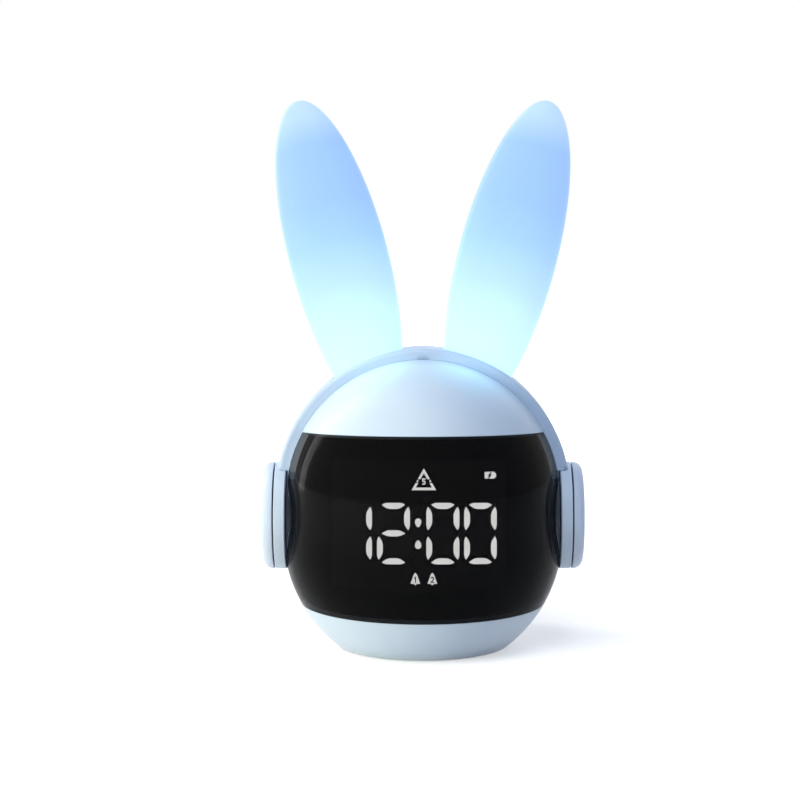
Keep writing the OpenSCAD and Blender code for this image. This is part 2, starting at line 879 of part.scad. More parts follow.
module display_bosses() {
    intersection() {
        at_lug_screws() translate([0, -far / 2, 0]) bar_y(lug_boss_r, far / 2 + display_back - lug_t);
        body_solid(seat_inset - seat_wall / 2);
    }
}

module at_lug_screws()
    for (x = [-lug_screw_x, lug_screw_x], z = [-lug_pitch / 2, lug_pitch / 2])
        translate([x, 0, display_z + z]) children();

// One segment, flat, its outer edge along +Y; its two inner corners are cut
module segment_outline(l) {
    polygon([
        [-l / 2 + corner_x, segment_t / 2],
        [-l / 2, segment_t / 2 - corner_z],
        [-l / 2 + end_cut, -segment_t / 2],
        [l / 2 - end_cut, -segment_t / 2],
        [l / 2, segment_t / 2 - corner_z],
        [l / 2 - corner_x, segment_t / 2],
    ]);
}

// The middle segment is cut on both sides
module middle_outline(l) {
    polygon([
        [-l / 2, 0],
        [-l / 2 + middle_cut, segment_t / 2],
        [l / 2 - middle_cut, segment_t / 2],
        [l / 2, 0],
        [l / 2 - middle_cut, -segment_t / 2],
        [-l / 2 + middle_cut, -segment_t / 2],
    ]);
}

// Segment n of a digit, counted clockwise from the top with the middle one last
module segment(n) {
    if (n == 0) translate([0, segment_end_z]) segment_outline(segment_w);
    if (n == 1) translate([segment_x, segment_side_z]) rotate(-90) segment_outline(segment_h);
    if (n == 2) translate([segment_x, -segment_side_z]) rotate(-90) segment_outline(segment_h);
    if (n == 3) translate([0, -segment_end_z]) rotate(180) segment_outline(segment_w);
    if (n == 4) translate([-segment_x, -segment_side_z]) rotate(90) segment_outline(segment_h);
    if (n == 5) translate([-segment_x, segment_side_z]) rotate(90) segment_outline(segment_h);
    if (n == 6) middle_outline(segment_w);
}

module colon_dots() {
    for (z = [-1, 1]) translate([0, z * colon_rise]) circle(colon_r);
}

function digit_x(i) =
    (i < 2 ? -1 : 1) * (digit_w / 2 + colon_room + (i == 0 || i == 3 ? digit_pitch : 0));
function is_lit(i, n) = len(search(n, lit_in_digit[i])) > 0;

module digit_outlines(lit) {
    for (i = [0:3]) translate([digit_x(i), 0])
        for (n = [0:6]) if (is_lit(i, n) == lit) segment(n);
    if (lit) colon_dots();
}

module bell_outline() {
    polygon([
        [-bell[0] / 2, 0],
        [-bell_shoulder[0], bell_shoulder[1]],
        [0, bell[1]],
        [bell_shoulder[0], bell_shoulder[1]],
        [bell[0] / 2, 0],
    ]);
}

function bell_x(i) = icon_x + (i - 0.5) * bell_pitch;

module icon_outlines() {
    for (i = [0, 1]) translate([bell_x(i), bells_z]) bell_outline();
    translate([icon_x, triangle_z])
        polygon([[-triangle[0] / 2, 0], [0, triangle[1]], [triangle[0] / 2, 0]]);
    translate(battery_mark_at) square(battery_mark, center = true);
}

// Lifts a flat outline into a straight channel through the display block
module channel() {
    translate([display_x, 0, digit_z]) rotate([90, 0, 0])
        linear_extrude(height = far / 2) children();
}

// A diffuser behind the panel: the channel's front end
module diffusers(color_name) {
    color(color_name) intersection() {
        channel() children();
        difference() {
            body_solid(lens_inset);
            body_solid(lens_inset + diffuser_t);
        }
    }
}

module display_block() color(dark) {
    difference() {
        union() {
            intersection() {
                display_room(0);
                body_solid(lens_inset);
                translate([-far / 2, -far / 2, 0]) cube([far, far / 2 + display_back, far]);
            }
            for (side = [-1, 1])
                translate([side > 0 ? display_x + display_w / 2 - over : -lug_reach, display_back - lug_t,
                           display_z - lug_pitch / 2 - lug_w / 2])
                    cube([lug_reach + over - display_w / 2 - side * display_x, lug_t, lug_pitch + lug_w]);
        }
        channel() {
            digit_outlines(true);
            digit_outlines(false);
            icon_outlines();
        }
        at_lug_screws()
            translate([0, display_back - lug_t - over, 0]) bar_y(small_screw_r + fit, lug_t + over * 2);
        for (p = display_corners())
            translate([p[0], display_back - board_engage, p[1]]) bar_y(small_screw_r, board_engage + over);
    }
}

function display_corners() = [
    for (sx = [-1, 1], sz = [-1, 1])
        [display_x + sx * (display_w / 2 - board_corner), display_z + sz * (display_h / 2 - board_corner)]
];

module digits_lit() diffusers(soft_white) digit_outlines(true);
module digits_unlit() diffusers(dark) digit_outlines(false);
module display_icons() diffusers(soft_white) icon_outlines();

module display_board() {
    color(soft_white)
        translate([-plug[0] / 2, display_back + board_t, display_z + display_plug_rise - plug[2] / 2])
            cube(plug);
    color(board_green) difference() {
        translate([display_x - display_w / 2, display_back, display_z - display_h / 2])
            cube([display_w, board_t, display_h]);
        for (p = display_corners())
            translate([p[0], display_back - over, p[1]]) bar_y(small_screw_r + fit, board_t + over * 2);
    }
}

// ---------------------------------------------------------------- base and battery

module base_plate() color(shell_blue) {
    difference() {
        union() {
            translate([0, 0, base_bottom]) cylinder(r = base_r, h = base_t);
            for (x = [-tray_peg_x, tray_peg_x]) translate([x, 0, base_top - hair]) {
                cylinder(r = tray_post_r, h = tray_z - base_top + hair);
                cylinder(r = tray_peg_r, h = tray_z - base_top + tray_wall);
            }
        }
        translate([0, 0, -over]) cylinder(r = pad_r + fit, h = pad_top + over);
        for (a = base_screw_angles) rotate([0, 0, a]) translate([base_screw_r, 0, 0]) {
            translate([0, 0, -over]) cylinder(r = small_screw_r + fit, h = base_top + over * 2);
            translate([0, 0, -over])
                cylinder(r = small_head_r + head_room, h = base_bottom + over + small_head_r * head_share);
        }
    }
}

module foot_pad() color(dark) cylinder(r = pad_r, h = pad_top);

module base_screws() {
    for (a = base_screw_angles) rotate([0, 0, a])
        translate([base_screw_r, 0, base_bottom + small_head_r * head_share])
            screw(small_screw_r, small_head_r, base_t + base_engage);
}

module battery_tray() color(dark) {
    outer = [cell_l + 2 * (tray_gap + tray_wall), cell_w + 2 * (tray_gap + tray_wall)];
    difference() {
        translate([-outer[0] / 2, -outer[1] / 2, tray_z])
            cube([outer[0], outer[1], tray_wall + tray_wall_h]);
        translate([-cell_l / 2 - tray_gap, -cell_w / 2 - tray_gap, tray_z + tray_wall])
            cube([cell_l + 2 * tray_gap, cell_w + 2 * tray_gap, far]);
        for (x = [-tray_peg_x, tray_peg_x])
            translate([x, 0, tray_z - over]) cylinder(r = tray_peg_r + fit, h = tray_wall + over * 2);
    }
}

module battery_pack() color(wrap_blue) {
    translate([-cell_l / 2, -cell_w / 2, tray_z + tray_wall]) cube([cell_l, cell_w, cell_t]);
}

// ---------------------------------------------------------------- rear plate and main board

function button_x(i) = (i - 2) * button_pitch;

module rear_plate() color(shell_blue) at_plate() {
    difference() {
        union() {
            translate([0, plate_in, 0]) bar_y(plate_r, plate_t);
            at_main_posts() translate([0, main_y, 0]) bar_y(main_post_r, plate_in - main_y + hair);
        }
        for (i = [0:4])
            translate([button_x(i), plate_in - over, button_row_z])
                bar_y(button_r + slide_fit, plate_t + over * 2);
        grille_holes();
        translate([usb_x - usb_size[0] / 2 - fit, plate_in - over, port_z - usb_size[1] / 2 - fit])
            cube([usb_size[0] + 2 * fit, plate_t + over * 2, usb_size[1] + 2 * fit]);
        translate([switch_x - switch_knob[0] / 2 - power_travel - switch_room, plate_in - over,
                   port_z - switch_knob[1] / 2 - switch_room])
            cube([switch_knob[0] + power_travel + switch_room * 2, plate_t + over * 2,
                  switch_knob[1] + switch_room * 2]);
        for (a = plate_screw_angles) plate_screw_at(a) {
            translate([0, plate_in - over, 0]) bar_y(small_screw_r + fit, plate_t + over * 2);
            translate([0, plate_y - plate_head_sink, 0]) bar_y(small_head_r + head_room, plate_t);
        }
        at_main_posts() translate([0, main_y - over, 0]) bar_y(small_screw_r, main_engage + over);
    }
}

module at_main_posts()
    for (a = main_post_angles)
        translate([main_post_out * cos(a), 0, main_post_out * sin(a)]) children();

// Rings of holes over the speaker
module grille_holes() {
    rings = floor((speaker_r - grille_border) / grille_pitch);
    for (ring = [0:rings], k = [0:max(6 * ring, 1) - 1]) {
        a = k * 60 / max(ring, 1);
        translate([ring * grille_pitch * cos(a), plate_in - over, speaker_z + ring * grille_pitch * sin(a)])
            bar_y(grille_hole_r, plate_t + over * 2);
    }
}

module main_board() color(board_green) at_plate() {
    difference() {
        translate([0, main_inner, 0]) bar_y(main_r, board_t);
        at_main_posts() translate([0, main_inner - over, 0]) bar_y(small_screw_r + fit, board_t + over * 2);
    }
}

// The clock chip, the amplifier, the charger and four plug sockets on the board's inner face
module main_board_chips() at_plate() {
    color(dark) for (c = chips) chip(c[0], c[1]);
    color(soft_white) {
        for (x = top_plugs_x) chip([x, top_plugs_z], plug);
        chip([0, low_plug_z], plug);
    }
}

module chip(at, size) {
    translate([at[0] - size[0] / 2, main_inner - size[1], at[1] - size[2] / 2]) cube(size);
}

module usb_socket() color(steel) at_plate() {
    difference() {
        translate([usb_x - usb_size[0] / 2, main_y, port_z - usb_size[1] / 2])
            cube([usb_size[0], plate_y - usb_sink - main_y, usb_size[1]]);
        translate([usb_x - usb_size[0] / 2 + usb_wall, main_y + over, port_z - usb_size[1] / 2 + usb_wall])
            cube([usb_size[0] - 2 * usb_wall, far, usb_size[1] - 2 * usb_wall]);
    }
    translate([usb_x - usb_tongue[0] / 2, main_y + over - hair, port_z - usb_tongue[2] / 2])
        cube(usb_tongue);
}

module power_switch() color(dark) at_plate() {
    difference() {
        translate([switch_x - switch_body[0] / 2 - power_travel / 2, main_y, port_z - switch_body[2] / 2])
            cube(switch_body);
        translate([switch_x - switch_knob[0] / 2 - power_travel - switch_room,
                   main_y + switch_body[1] - switch_slot, port_z - switch_knob[1] / 2 - fit])
            cube([switch_knob[0] + power_travel + switch_room * 2, switch_slot + over,
                  switch_knob[1] + fit * 2]);
    }
}

module power_knob() color(dark) at_plate() {
    knob_in = main_y + switch_body[1] - switch_slot + fit;
    translate([switch_x - switch_knob[0] / 2, knob_in, port_z - switch_knob[1] / 2])
        cube([switch_knob[0], plate_y + knob_proud - knob_in, switch_knob[1]]);
}

module rear_button(i) color(shell_blue) at_plate() {
    translate([button_x(i), 0, button_row_z]) {
        translate([0, flange_top - flange_t, 0]) bar_y(flange_r, flange_t);
        translate([0, flange_top - hair, 0]) bar_y(button_r, plate_y + button_proud - flange_top + hair);
    }
}

module button_switches() color(dark) at_plate() {
    knob_h = flange_top - flange_t - button_travel - fit - main_y - small_tact_h;
    for (i = [0:4]) translate([button_x(i), main_y, button_row_z]) {
        translate([-small_tact / 2, 0, -small_tact / 2]) cube([small_tact, small_tact_h, small_tact]);
        translate([0, small_tact_h, 0]) bar_y(small_tact_knob_r, knob_h);
    }
}

module at_speaker() at_plate() translate([0, plate_in - speaker_t, speaker_z]) children();

module speaker_frame() color(dark) at_speaker() difference() {
    bar_y(speaker_r, speaker_t);
    translate([0, speaker_wall, 0]) bar_y(speaker_r - speaker_wall, speaker_t);
    translate([0, -over, 0]) bar_y(speaker_hole_r, speaker_t);
}

module speaker_cone() color(dark) at_speaker() translate([0, speaker_t - cone_gap, 0]) difference() {
    bar_y(speaker_r - speaker_wall - hair, cone_t);
    translate([0, cone_dish[1], 0]) bar_y(cone_dish[0], cone_t);
}

module speaker_magnet() color(steel) at_speaker()
    translate([0, -magnet_out, 0]) bar_y(magnet[0], magnet[1]);

// ---------------------------------------------------------------- screws and small parts

module case_screws() {
    for (p = case_screws_at) translate([p[0], head_depth, p[1]]) rotate([90, 0, 0])
        screw(screw_r - hair, screw_head_r, head_depth + screw_engage - screw_end);
}

module plate_screws() {
    at_plate() for (a = plate_screw_angles) plate_screw_at(a)
        translate([0, plate_y - plate_head_sink, 0]) rotate([90, 0, 0])
            screw(small_screw_r, small_head_r, plate_t - plate_head_sink + plate_engage);
}

module board_screws() {
    at_plate() at_main_posts() translate([0, main_inner, 0]) rotate([-90, 0, 0])
        screw(small_screw_r, small_head_r, board_t + main_engage - screw_end / 2);
}

module display_screws() {
    at_lug_screws() translate([0, display_back, 0]) rotate([90, 0, 0])
        screw(small_screw_r, small_head_r, lug_t + lug_engage);
    for (p = display_corners()) translate([p[0], display_back + board_t, p[1]]) rotate([90, 0, 0])
        screw(small_screw_r, small_head_r, board_t + board_engage - screw_end / 2);
}

module display_leds() color("white") {
    for (i = [0:3], at = led_places) led_at([digit_x(i) + at[0], at[1]]);
    for (z = [-colon_rise, colon_rise]) led_at([0, z]);
    for (i = [0, 1]) led_at([bell_x(i), bells_z + bell[1] / 3]);
    led_at([icon_x, triangle_z + triangle[1] / 3]);
    led_at(battery_mark_at);
}

module led_at(at) {
    translate([display_x + at[0] - led_chip[0] / 2, display_back - led_chip[1],
               digit_z + at[1] - led_chip[2] / 2])
        cube(led_chip);
}

// ---------------------------------------------------------------- leads

// A round lead along the cubic curve of four points; across is a direction that it never runs in
module lead(p, across) {
    rings = [
        for (i = [0:lead_steps])
            let (
                t = i / lead_steps,
                r = 1 - t,
                at = p[0] * r * r * r + p[1] * 3 * r * r * t + p[2] * 3 * r * t * t + p[3] * t * t * t,
                ahead = (p[1] - p[0]) * r * r + (p[2] - p[1]) * 2 * r * t + (p[3] - p[2]) * t * t,
                side = cross(ahead, across) / norm(cross(ahead, across)),
                up = cross(ahead / norm(ahead), side)
            )
            for (k = [0:lead_sides - 1])
                at + lead_r * (side * cos(k * 360 / lead_sides) + up * sin(k * 360 / lead_sides))
    ];
    polyhedron(rings, [
        [for (k = [0:lead_sides - 1]) k],
        for (i = [0:lead_steps - 1], k = [0:lead_sides - 1])
            let (n = (k + 1) % lead_sides, a = i * lead_sides)
            [a + k, a + lead_sides + k, a + lead_sides + n, a + n],
        [for (k = [lead_sides - 1:-1:0]) lead_steps * lead_sides + k],
    ]);
}

// The last two points of a lead that enters a socket of the main board
function into_plug(x, z, reach) =
    [for (y = [plug_mouth - reach, plug_mouth]) [x, y, plate_z + z]];

// A point under an ear, by its distance below the root along the ear's axis
function under_ear(side, d) =
    [side * (ear_x - d * sin(ear_tilt)), 0, ear_root_z - d * cos(ear_tilt)];

module battery_lead() color(dark) {
    reach = battery_lead_reach;
    z = tray_z + tray_wall + cell_t - lead_r * 1.5;
    lead([for (y = [0, reach[0]]) [0, cell_w / 2 + y, z], each into_plug(0, low_plug_z, reach[1])],
         [1, 0, 0]);
}

module display_lead() color(dark) {
    reach = display_lead_reach;
    start = display_back + board_t + plug[1];
    z = display_z + display_plug_rise;
    lead([for (y = [0, reach[0]]) [0, start + y, z], each into_plug(0, top_plugs_z, reach[1])], [1, 0, 0]);
}

module ear_leads() color(soft_white) {
    reach = ear_lead_reach;
    for (side = [-1, 1])
        lead([for (d = [0, reach[0]]) under_ear(side, board_t - clamp_bottom + d),
              each into_plug(side * ear_lead_x, top_plugs_z, reach[1])], [1, 0, 0]);
}

module cup_leads() color(soft_white) {
    reach = cup_lead_reach;
    for (side = [-1, 1])
        lead([for (x = [0, reach[0]]) [side * (cup_board_x - x), 0, cup_z],
              each into_plug(side * cup_lead_x, top_plugs_z, reach[1])], [0, 0, 1]);
}

// ---------------------------------------------------------------- the model

front_shell();
rear_shell();
front_panel();
headband();
ear(-1);  // ear_left
ear(1);  // ear_right
ear_clamp(-1);  // ear_clamp_left
ear_clamp(1);  // ear_clamp_right
ear_board(-1);  // ear_board_left
ear_board(1);  // ear_board_right
ear_leds();
ear_screws();
ear_cup(-1);  // ear_cup_left
ear_cup(1);  // ear_cup_right
ear_cap(-1);  // ear_cap_left
ear_cap(1);  // ear_cap_right
cup_retainer(-1);  // cup_retainer_left
cup_retainer(1);  // cup_retainer_right
cup_board(-1);  // cup_board_left
cup_board(1);  // cup_board_right
cup_switches();
cup_screws();
display_block();
digits_lit();
digits_unlit();
display_icons();
display_board();
display_leds();
display_screws();
base_plate();
foot_pad();
base_screws();
battery_tray();
battery_pack();
battery_lead();
display_lead();
ear_leads();
cup_leads();
rear_plate();
main_board();
main_board_chips();
usb_socket();
power_switch();
power_knob();
rear_button(0);  // button_set
rear_button(1);  // button_alarm
rear_button(2);  // button_up
rear_button(3);  // button_down
rear_button(4);  // button_light
button_switches();
speaker_frame();
speaker_cone();
speaker_magnet();
plate_screws();
board_screws();
case_screws();
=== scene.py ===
# %% [markdown]
# # A children's alarm clock with a night light
# The real object is a round pale blue plastic case with a smoked wrap-round window, a bow over
# the top with a round cup at each end, and two tall ears that glow. Every CAD piece is loaded
# first and stays where it is. The pieces that catch the eye are then modelled again with smooth
# surfaces and rounded edges, and the others keep their shape and get a finish.

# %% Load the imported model
import math
import bmesh
import bpy
from bmesh.types import BMEdge, BMVert
from mathutils import Matrix, Vector


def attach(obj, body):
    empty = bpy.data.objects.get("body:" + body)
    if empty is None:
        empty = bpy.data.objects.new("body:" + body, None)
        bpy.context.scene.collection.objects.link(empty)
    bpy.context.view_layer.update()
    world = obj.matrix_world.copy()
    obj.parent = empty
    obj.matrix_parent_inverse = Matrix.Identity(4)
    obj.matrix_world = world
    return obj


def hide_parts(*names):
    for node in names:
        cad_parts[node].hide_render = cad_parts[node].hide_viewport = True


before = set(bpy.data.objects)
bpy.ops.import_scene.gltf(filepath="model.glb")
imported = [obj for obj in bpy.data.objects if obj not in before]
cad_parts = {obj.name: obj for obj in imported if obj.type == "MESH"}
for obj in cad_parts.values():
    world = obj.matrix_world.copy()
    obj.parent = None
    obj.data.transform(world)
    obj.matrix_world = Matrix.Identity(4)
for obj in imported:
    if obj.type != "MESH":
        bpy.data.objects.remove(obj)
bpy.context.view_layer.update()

# %% [markdown]
# ## Working in millimetres
# The clock's drawing is in millimetres and Blender counts in metres, so every piece is built in
# millimetres and scaled once at the end. The sizes below are those of the drawing. The body is
# two balls, one above the other, joined by a narrow cone that touches both.

# %% Sizes of the clock
MM = 0.001
LOWER_BALL = (44.0, 35.1)      # radius of the ball, height of its centre
UPPER_BALL = (43.4, 48.1)
CUP_Z = 41.1                   # height of the axis through both cups
EAR_AT = (17.75, 89.8)         # x and z of the point on the bow that an ear leans from
EAR_LEAN = 14.7                # degrees outwards
EAR_HALF = (15.4, 7.25, 50.7)  # half axes of an ear's oval
EAR_MID = 32.8                 # from that point along the ear to the oval's centre
COLON_X = -1.45                # the display sits a little beside the middle
DIGIT_Z = 42.0                 # height of the digits' middle

flare = math.asin((LOWER_BALL[0] - UPPER_BALL[0]) / (UPPER_BALL[1] - LOWER_BALL[1]))


def body_radius(z, depth=0.0):
    """Radius of the body at height z, for the outer surface or one that lies deeper."""
    for (r, middle), sign in ((LOWER_BALL, -1), (UPPER_BALL, 1)):
        r -= depth
        if sign * (z - middle - r * math.sin(flare)) >= 0:
            return math.sqrt(max(r * r - (z - middle) ** 2, 0))
    r, middle = LOWER_BALL[0] - depth, LOWER_BALL[1]
    return r / math.cos(flare) - (z - middle) * math.tan(flare)


print("flare of the cone in degrees:", round(math.degrees(flare), 2))

# %% [markdown]
# ## From a bmesh to a finished piece
# Each piece ends the same way: doubles merged, faces turned outwards, sharp edges marked by
# their angle, and then it is hung on its body's empty and the CAD pieces it replaces are hidden.
# An operator gives back vertices, edges and faces in one list, so a small filter picks out one
# kind, and another helper cuts a whole shape along a plane.


# %% Helpers for pieces
SAME = 1e-4  # vertices closer than this, in mm, are one


def piece(name, bm, body, replaced, materials, sharp=30, choose=None):
    """Make an object from a bmesh in millimetres; choose gives a face's material by its centre."""
    bmesh.ops.remove_doubles(bm, verts=bm.verts, dist=SAME)
    bmesh.ops.recalc_face_normals(bm, faces=bm.faces)
    if choose:
        for face in bm.faces:
            face.material_index = choose(face.calc_center_median())
    bmesh.ops.scale(bm, vec=(MM, MM, MM), verts=bm.verts)
    return hand_over(name, bm, body, replaced, materials, sharp)


def hand_over(name, bm, body, replaced, materials, sharp):
    """Turn a bmesh in metres into an object that rides on its body."""
    mesh = bpy.data.meshes.new(name)
    bm.to_mesh(mesh)
    bm.free()
    mesh.shade_smooth()
    mesh.set_sharp_from_angle(angle=math.radians(sharp))
    for material in materials:
        mesh.materials.append(material)
    made = bpy.data.objects.new(name, mesh)
    bpy.context.scene.collection.objects.link(made)
    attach(made, body)
    if replaced:
        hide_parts(*replaced)
    print(name, "faces:", len(mesh.polygons))
    return made


def only(kind, geom):
    """The vertices or the edges among what an operator gives back."""
    return [g for g in geom if isinstance(g, kind)]


def slice_all(bm, point, across, clear_outer=False):
    """Cut every face along a plane, and drop what lies beyond it if asked to."""
    return bmesh.ops.bisect_plane(bm, geom=bm.verts[:] + bm.edges[:] + bm.faces[:], plane_co=point,
                                  plane_no=across, clear_outer=clear_outer)


# %% [markdown]
# ## Colours and nodes
# Colours are written as the hex values of a paint chart and turned to linear light by one
# function. One more function adds a node, sets it and links it, so that each material reads
# from its pattern to its shader.


# %% Helpers for materials
def paint(chart):
    """A linear colour from an sRGB hex value."""
    parts = [int(chart[i:i + 2], 16) / 255 for i in (0, 2, 4)]
    return [p / 12.92 if p <= 0.04045 else ((p + 0.055) / 1.055) ** 2.4 for p in parts] + [1.0]


def add(tree, kind, inputs=None, stops=None, **settings):
    """Add a node: settings are its properties, inputs its sockets, stops a ramp's colours."""
    node = tree.nodes.new(kind)
    for name, value in settings.items():
        setattr(node, name, value)
    for socket, value in (inputs or {}).items():
        if isinstance(value, bpy.types.NodeSocket):
            tree.links.new(value, node.inputs[socket])
        else:
            node.inputs[socket].default_value = value
    if stops:
        ramp = node.color_ramp.elements
        while len(ramp) < len(stops):
            ramp.new(0.5)
        for element, (position, colour) in zip(ramp, stops):
            element.position = position
            element.color = colour
    return node


def start(name):
    """A new material with an empty tree and the Object coordinates that its pattern reads."""
    material = bpy.data.materials.new(name)
    material.use_nodes = True
    material.node_tree.nodes.clear()
    tree = material.node_tree
    return material, tree, add(tree, "ShaderNodeTexCoord").outputs["Object"]


def close(tree, shader):
    """Send the finished shader to the surface."""
    add(tree, "ShaderNodeOutputMaterial", {"Surface": shader.outputs[0]})


def per(size):
    """The scale of a pattern whose features are this many millimetres wide."""
    return 1 / (size * MM)


# %% [markdown]
# ## Moulded ABS
# The case is injection-moulded ABS. Its mould was blasted with fine grit, which leaves a grain
# of a few tenths of a millimetre and a soft sheen rather than a mirror. Thick and thin walls
# cool at different speeds, so the tone wanders by a hair over a few centimetres. The grain
# moves the normals, a broad noise moves colour and roughness, and nothing more is needed.

# %% Plastic
COOLING = 26  # mm over which tone and sheen wander


def plastic(name, light, deep, roughness, grain=0.35, depth=0.004, ior=1.53, gloss=0.5):
    """Moulded plastic: two close tones, a blasted grain, and a sheen that varies a little."""
    material, tree, at = start(name)
    cloud = add(tree, "ShaderNodeTexNoise", {"Vector": at, "Scale": per(COOLING), "Detail": 3.0})
    tone = add(tree, "ShaderNodeValToRGB", {"Fac": cloud.outputs["Fac"]},
               stops=[(0.3, paint(deep)), (0.7, paint(light))])
    sheen = add(tree, "ShaderNodeMapRange", {"Value": cloud.outputs["Fac"], "To Min": roughness - 0.03,
                                             "To Max": roughness + 0.03})
    fine = add(tree, "ShaderNodeTexNoise", {"Vector": at, "Scale": per(grain), "Detail": 2.0})
    bump = add(tree, "ShaderNodeBump", {"Height": fine.outputs["Fac"], "Distance": depth * MM,
                                        "Strength": 0.6})
    close(tree, add(tree, "ShaderNodeBsdfPrincipled", {
        "Base Color": tone.outputs["Color"], "Roughness": sheen.outputs["Result"], "IOR": ior,
        "Specular IOR Level": gloss, "Normal": bump.outputs["Normal"]}))
    return material


case_abs = plastic("ABS_blasted_pale_blue", "cbdced", "c7d8ea", 0.3, gloss=0.35)
band_abs = plastic("ABS_blasted_band_blue", "b9cde6", "b4c9e3", 0.34, gloss=0.35)
cap_abs = plastic("ABS_satin_cap_blue", "cbdaee", "c7d6eb", 0.3, gloss=0.35)
# painted shade: this navy stands for the shade and dark reflections in the narrow gap round each cup, on the
# cups' necks and on the window's first columns beside the cups
painted_shade_navy = plastic("ABS_navy_painted_shade", "1f2838", "1b2433", 0.2, depth=0.001, gloss=0.3)
black_abs = plastic("ABS_black_moulded", "0b0b0d", "08080a", 0.5)
white_abs = plastic("ABS_white_moulded", "e6e6e2", "e0e0dc", 0.4)
button_abs = plastic("ABS_satin_button_blue", "a9c6e4", "a4c2e1", 0.3, gloss=0.35)
mark_ink = plastic("ink_pad_printed_blue", "4c6f9c", "466896", 0.5, grain=0.2, depth=0.002, gloss=0.3)
print("case finishes:", case_abs.name, band_abs.name, cap_abs.name, painted_shade_navy.name)

# %% [markdown]
# ## Frosted polycarbonate that glows
# An ear is a hollow diffuser with three lamps in its foot. Light enters at the bottom, so the
# plastic is nearly white there, turns to a clear blue half way up and pales again at the tip,
# where the two walls meet. Tracing that light through the walls would be slow and grainy. The
# glow is an emission that follows the distance from the lamps instead, over a satin surface
# that still takes the room's light.

# %% Ear diffuser
GLOW_REACH = 80  # mm from the lamps to the far end of the colours

glow, tree, at = start("polycarbonate_frosted_glowing")
place = add(tree, "ShaderNodeSeparateXYZ", {"Vector": at})
aside = add(tree, "ShaderNodeMath", {0: place.outputs["X"]}, operation="ABSOLUTE")
folded = add(tree, "ShaderNodeCombineXYZ", {"X": aside.outputs[0], "Z": place.outputs["Z"]})
away = add(tree, "ShaderNodeVectorMath", {0: folded.outputs[0], 1: (EAR_AT[0] * MM, 0, EAR_AT[1] * MM)},
           operation="DISTANCE")
level = add(tree, "ShaderNodeMapRange", {"Value": away.outputs["Value"], "From Min": 0,
                                         "From Max": GLOW_REACH * MM})
glow_colour = add(tree, "ShaderNodeValToRGB", {"Fac": level.outputs["Result"]}, stops=[
    (0.1, paint("ccf2f4")), (0.24, paint("c0e9ee")), (0.33, paint("b1d7e8")), (0.43, paint("a3cbe8")),
    (0.5, paint("96c0e9")), (0.65, paint("8db3e9")), (0.87, paint("8db2e9")), (0.98, paint("aec9ee"))])
frost = add(tree, "ShaderNodeTexNoise", {"Vector": at, "Scale": per(0.5), "Detail": 2.0})
frost_bump = add(tree, "ShaderNodeBump", {"Height": frost.outputs["Fac"], "Distance": 0.004 * MM,
                                          "Strength": 0.5})
close(tree, add(tree, "ShaderNodeBsdfPrincipled", {
    "Base Color": paint("5a72a0"), "Roughness": 0.42, "IOR": 1.58,
    "Emission Color": glow_colour.outputs["Color"], "Emission Strength": 1.0,
    "Normal": frost_bump.outputs["Normal"]}))
print("colours of the glow over", GLOW_REACH, "mm:", len(glow_colour.color_ramp.elements))

# %% [markdown]
# ## Smoked window
# The window is acrylic with a dark tint, polished in the mould. Only its reflections and what
# shines through it can be seen, so it is nearly black, very smooth and a little transparent.
# Light crosses two of its faces, so a third of the light through each leaves a tenth in all.
# Its back is printed black outside the display, which hides the case behind it.

# %% Smoked acrylic
smoked, tree, at = start("acrylic_smoked_polished")
wave = add(tree, "ShaderNodeTexNoise", {"Vector": at, "Scale": per(18), "Detail": 1.0})
haze = add(tree, "ShaderNodeMapRange", {"Value": wave.outputs["Fac"], "To Min": 0.05, "To Max": 0.09})
wave_bump = add(tree, "ShaderNodeBump", {"Height": wave.outputs["Fac"], "Distance": 0.01 * MM,
                                         "Strength": 0.3})
close(tree, add(tree, "ShaderNodeBsdfPrincipled", {
    "Base Color": paint("0c0c0e"), "Roughness": haze.outputs["Result"], "IOR": 1.49, "Alpha": 0.65,
    "Specular IOR Level": 0.05, "Normal": wave_bump.outputs["Normal"]}))
ink = plastic("ink_screen_printed_black", "0a0a0c", "09090b", 0.6, grain=0.2, depth=0.002, ior=1.5,
              gloss=0.0)
print("window:", smoked.name, "printed with", ink.name)

# %% [markdown]
# ## Lit and unlit segments
# A segment is the milky resin end of a light channel. A lit one shines evenly enough to show no
# lamp behind it, so a soft cloud of two near whites is all the pattern it needs. It is far
# brighter than white, because the smoked window in front swallows most of its light.

# %% Segment resin
lit, tree, at = start("resin_diffuser_lit")
cloud = add(tree, "ShaderNodeTexNoise", {"Vector": at, "Scale": per(4), "Detail": 1.0})
tone = add(tree, "ShaderNodeValToRGB", {"Fac": cloud.outputs["Fac"]},
           stops=[(0.3, paint("f4f4f0")), (0.7, paint("ffffff"))])
close(tree, add(tree, "ShaderNodeBsdfPrincipled", {
    "Base Color": paint("d8d8d4"), "Roughness": 0.5, "Emission Color": tone.outputs["Color"],
    "Emission Strength": 5.1}))
unlit = plastic("resin_diffuser_dark", "1a1a1c", "161618", 0.5)
print("segments:", lit.name, unlit.name)

# %% [markdown]
# ## Metals, boards, rubber and paper
# These are seen only from behind, below or when the clock is open: zinc-plated screws with
# fine turning marks, green and white circuit boards, a rubber foot, the speaker's grey paper,
# the battery's shrink wrap and the leads' vinyl cover. The marks and the boards' copper paths
# are drawn coarser than real ones, which would vanish at this distance.


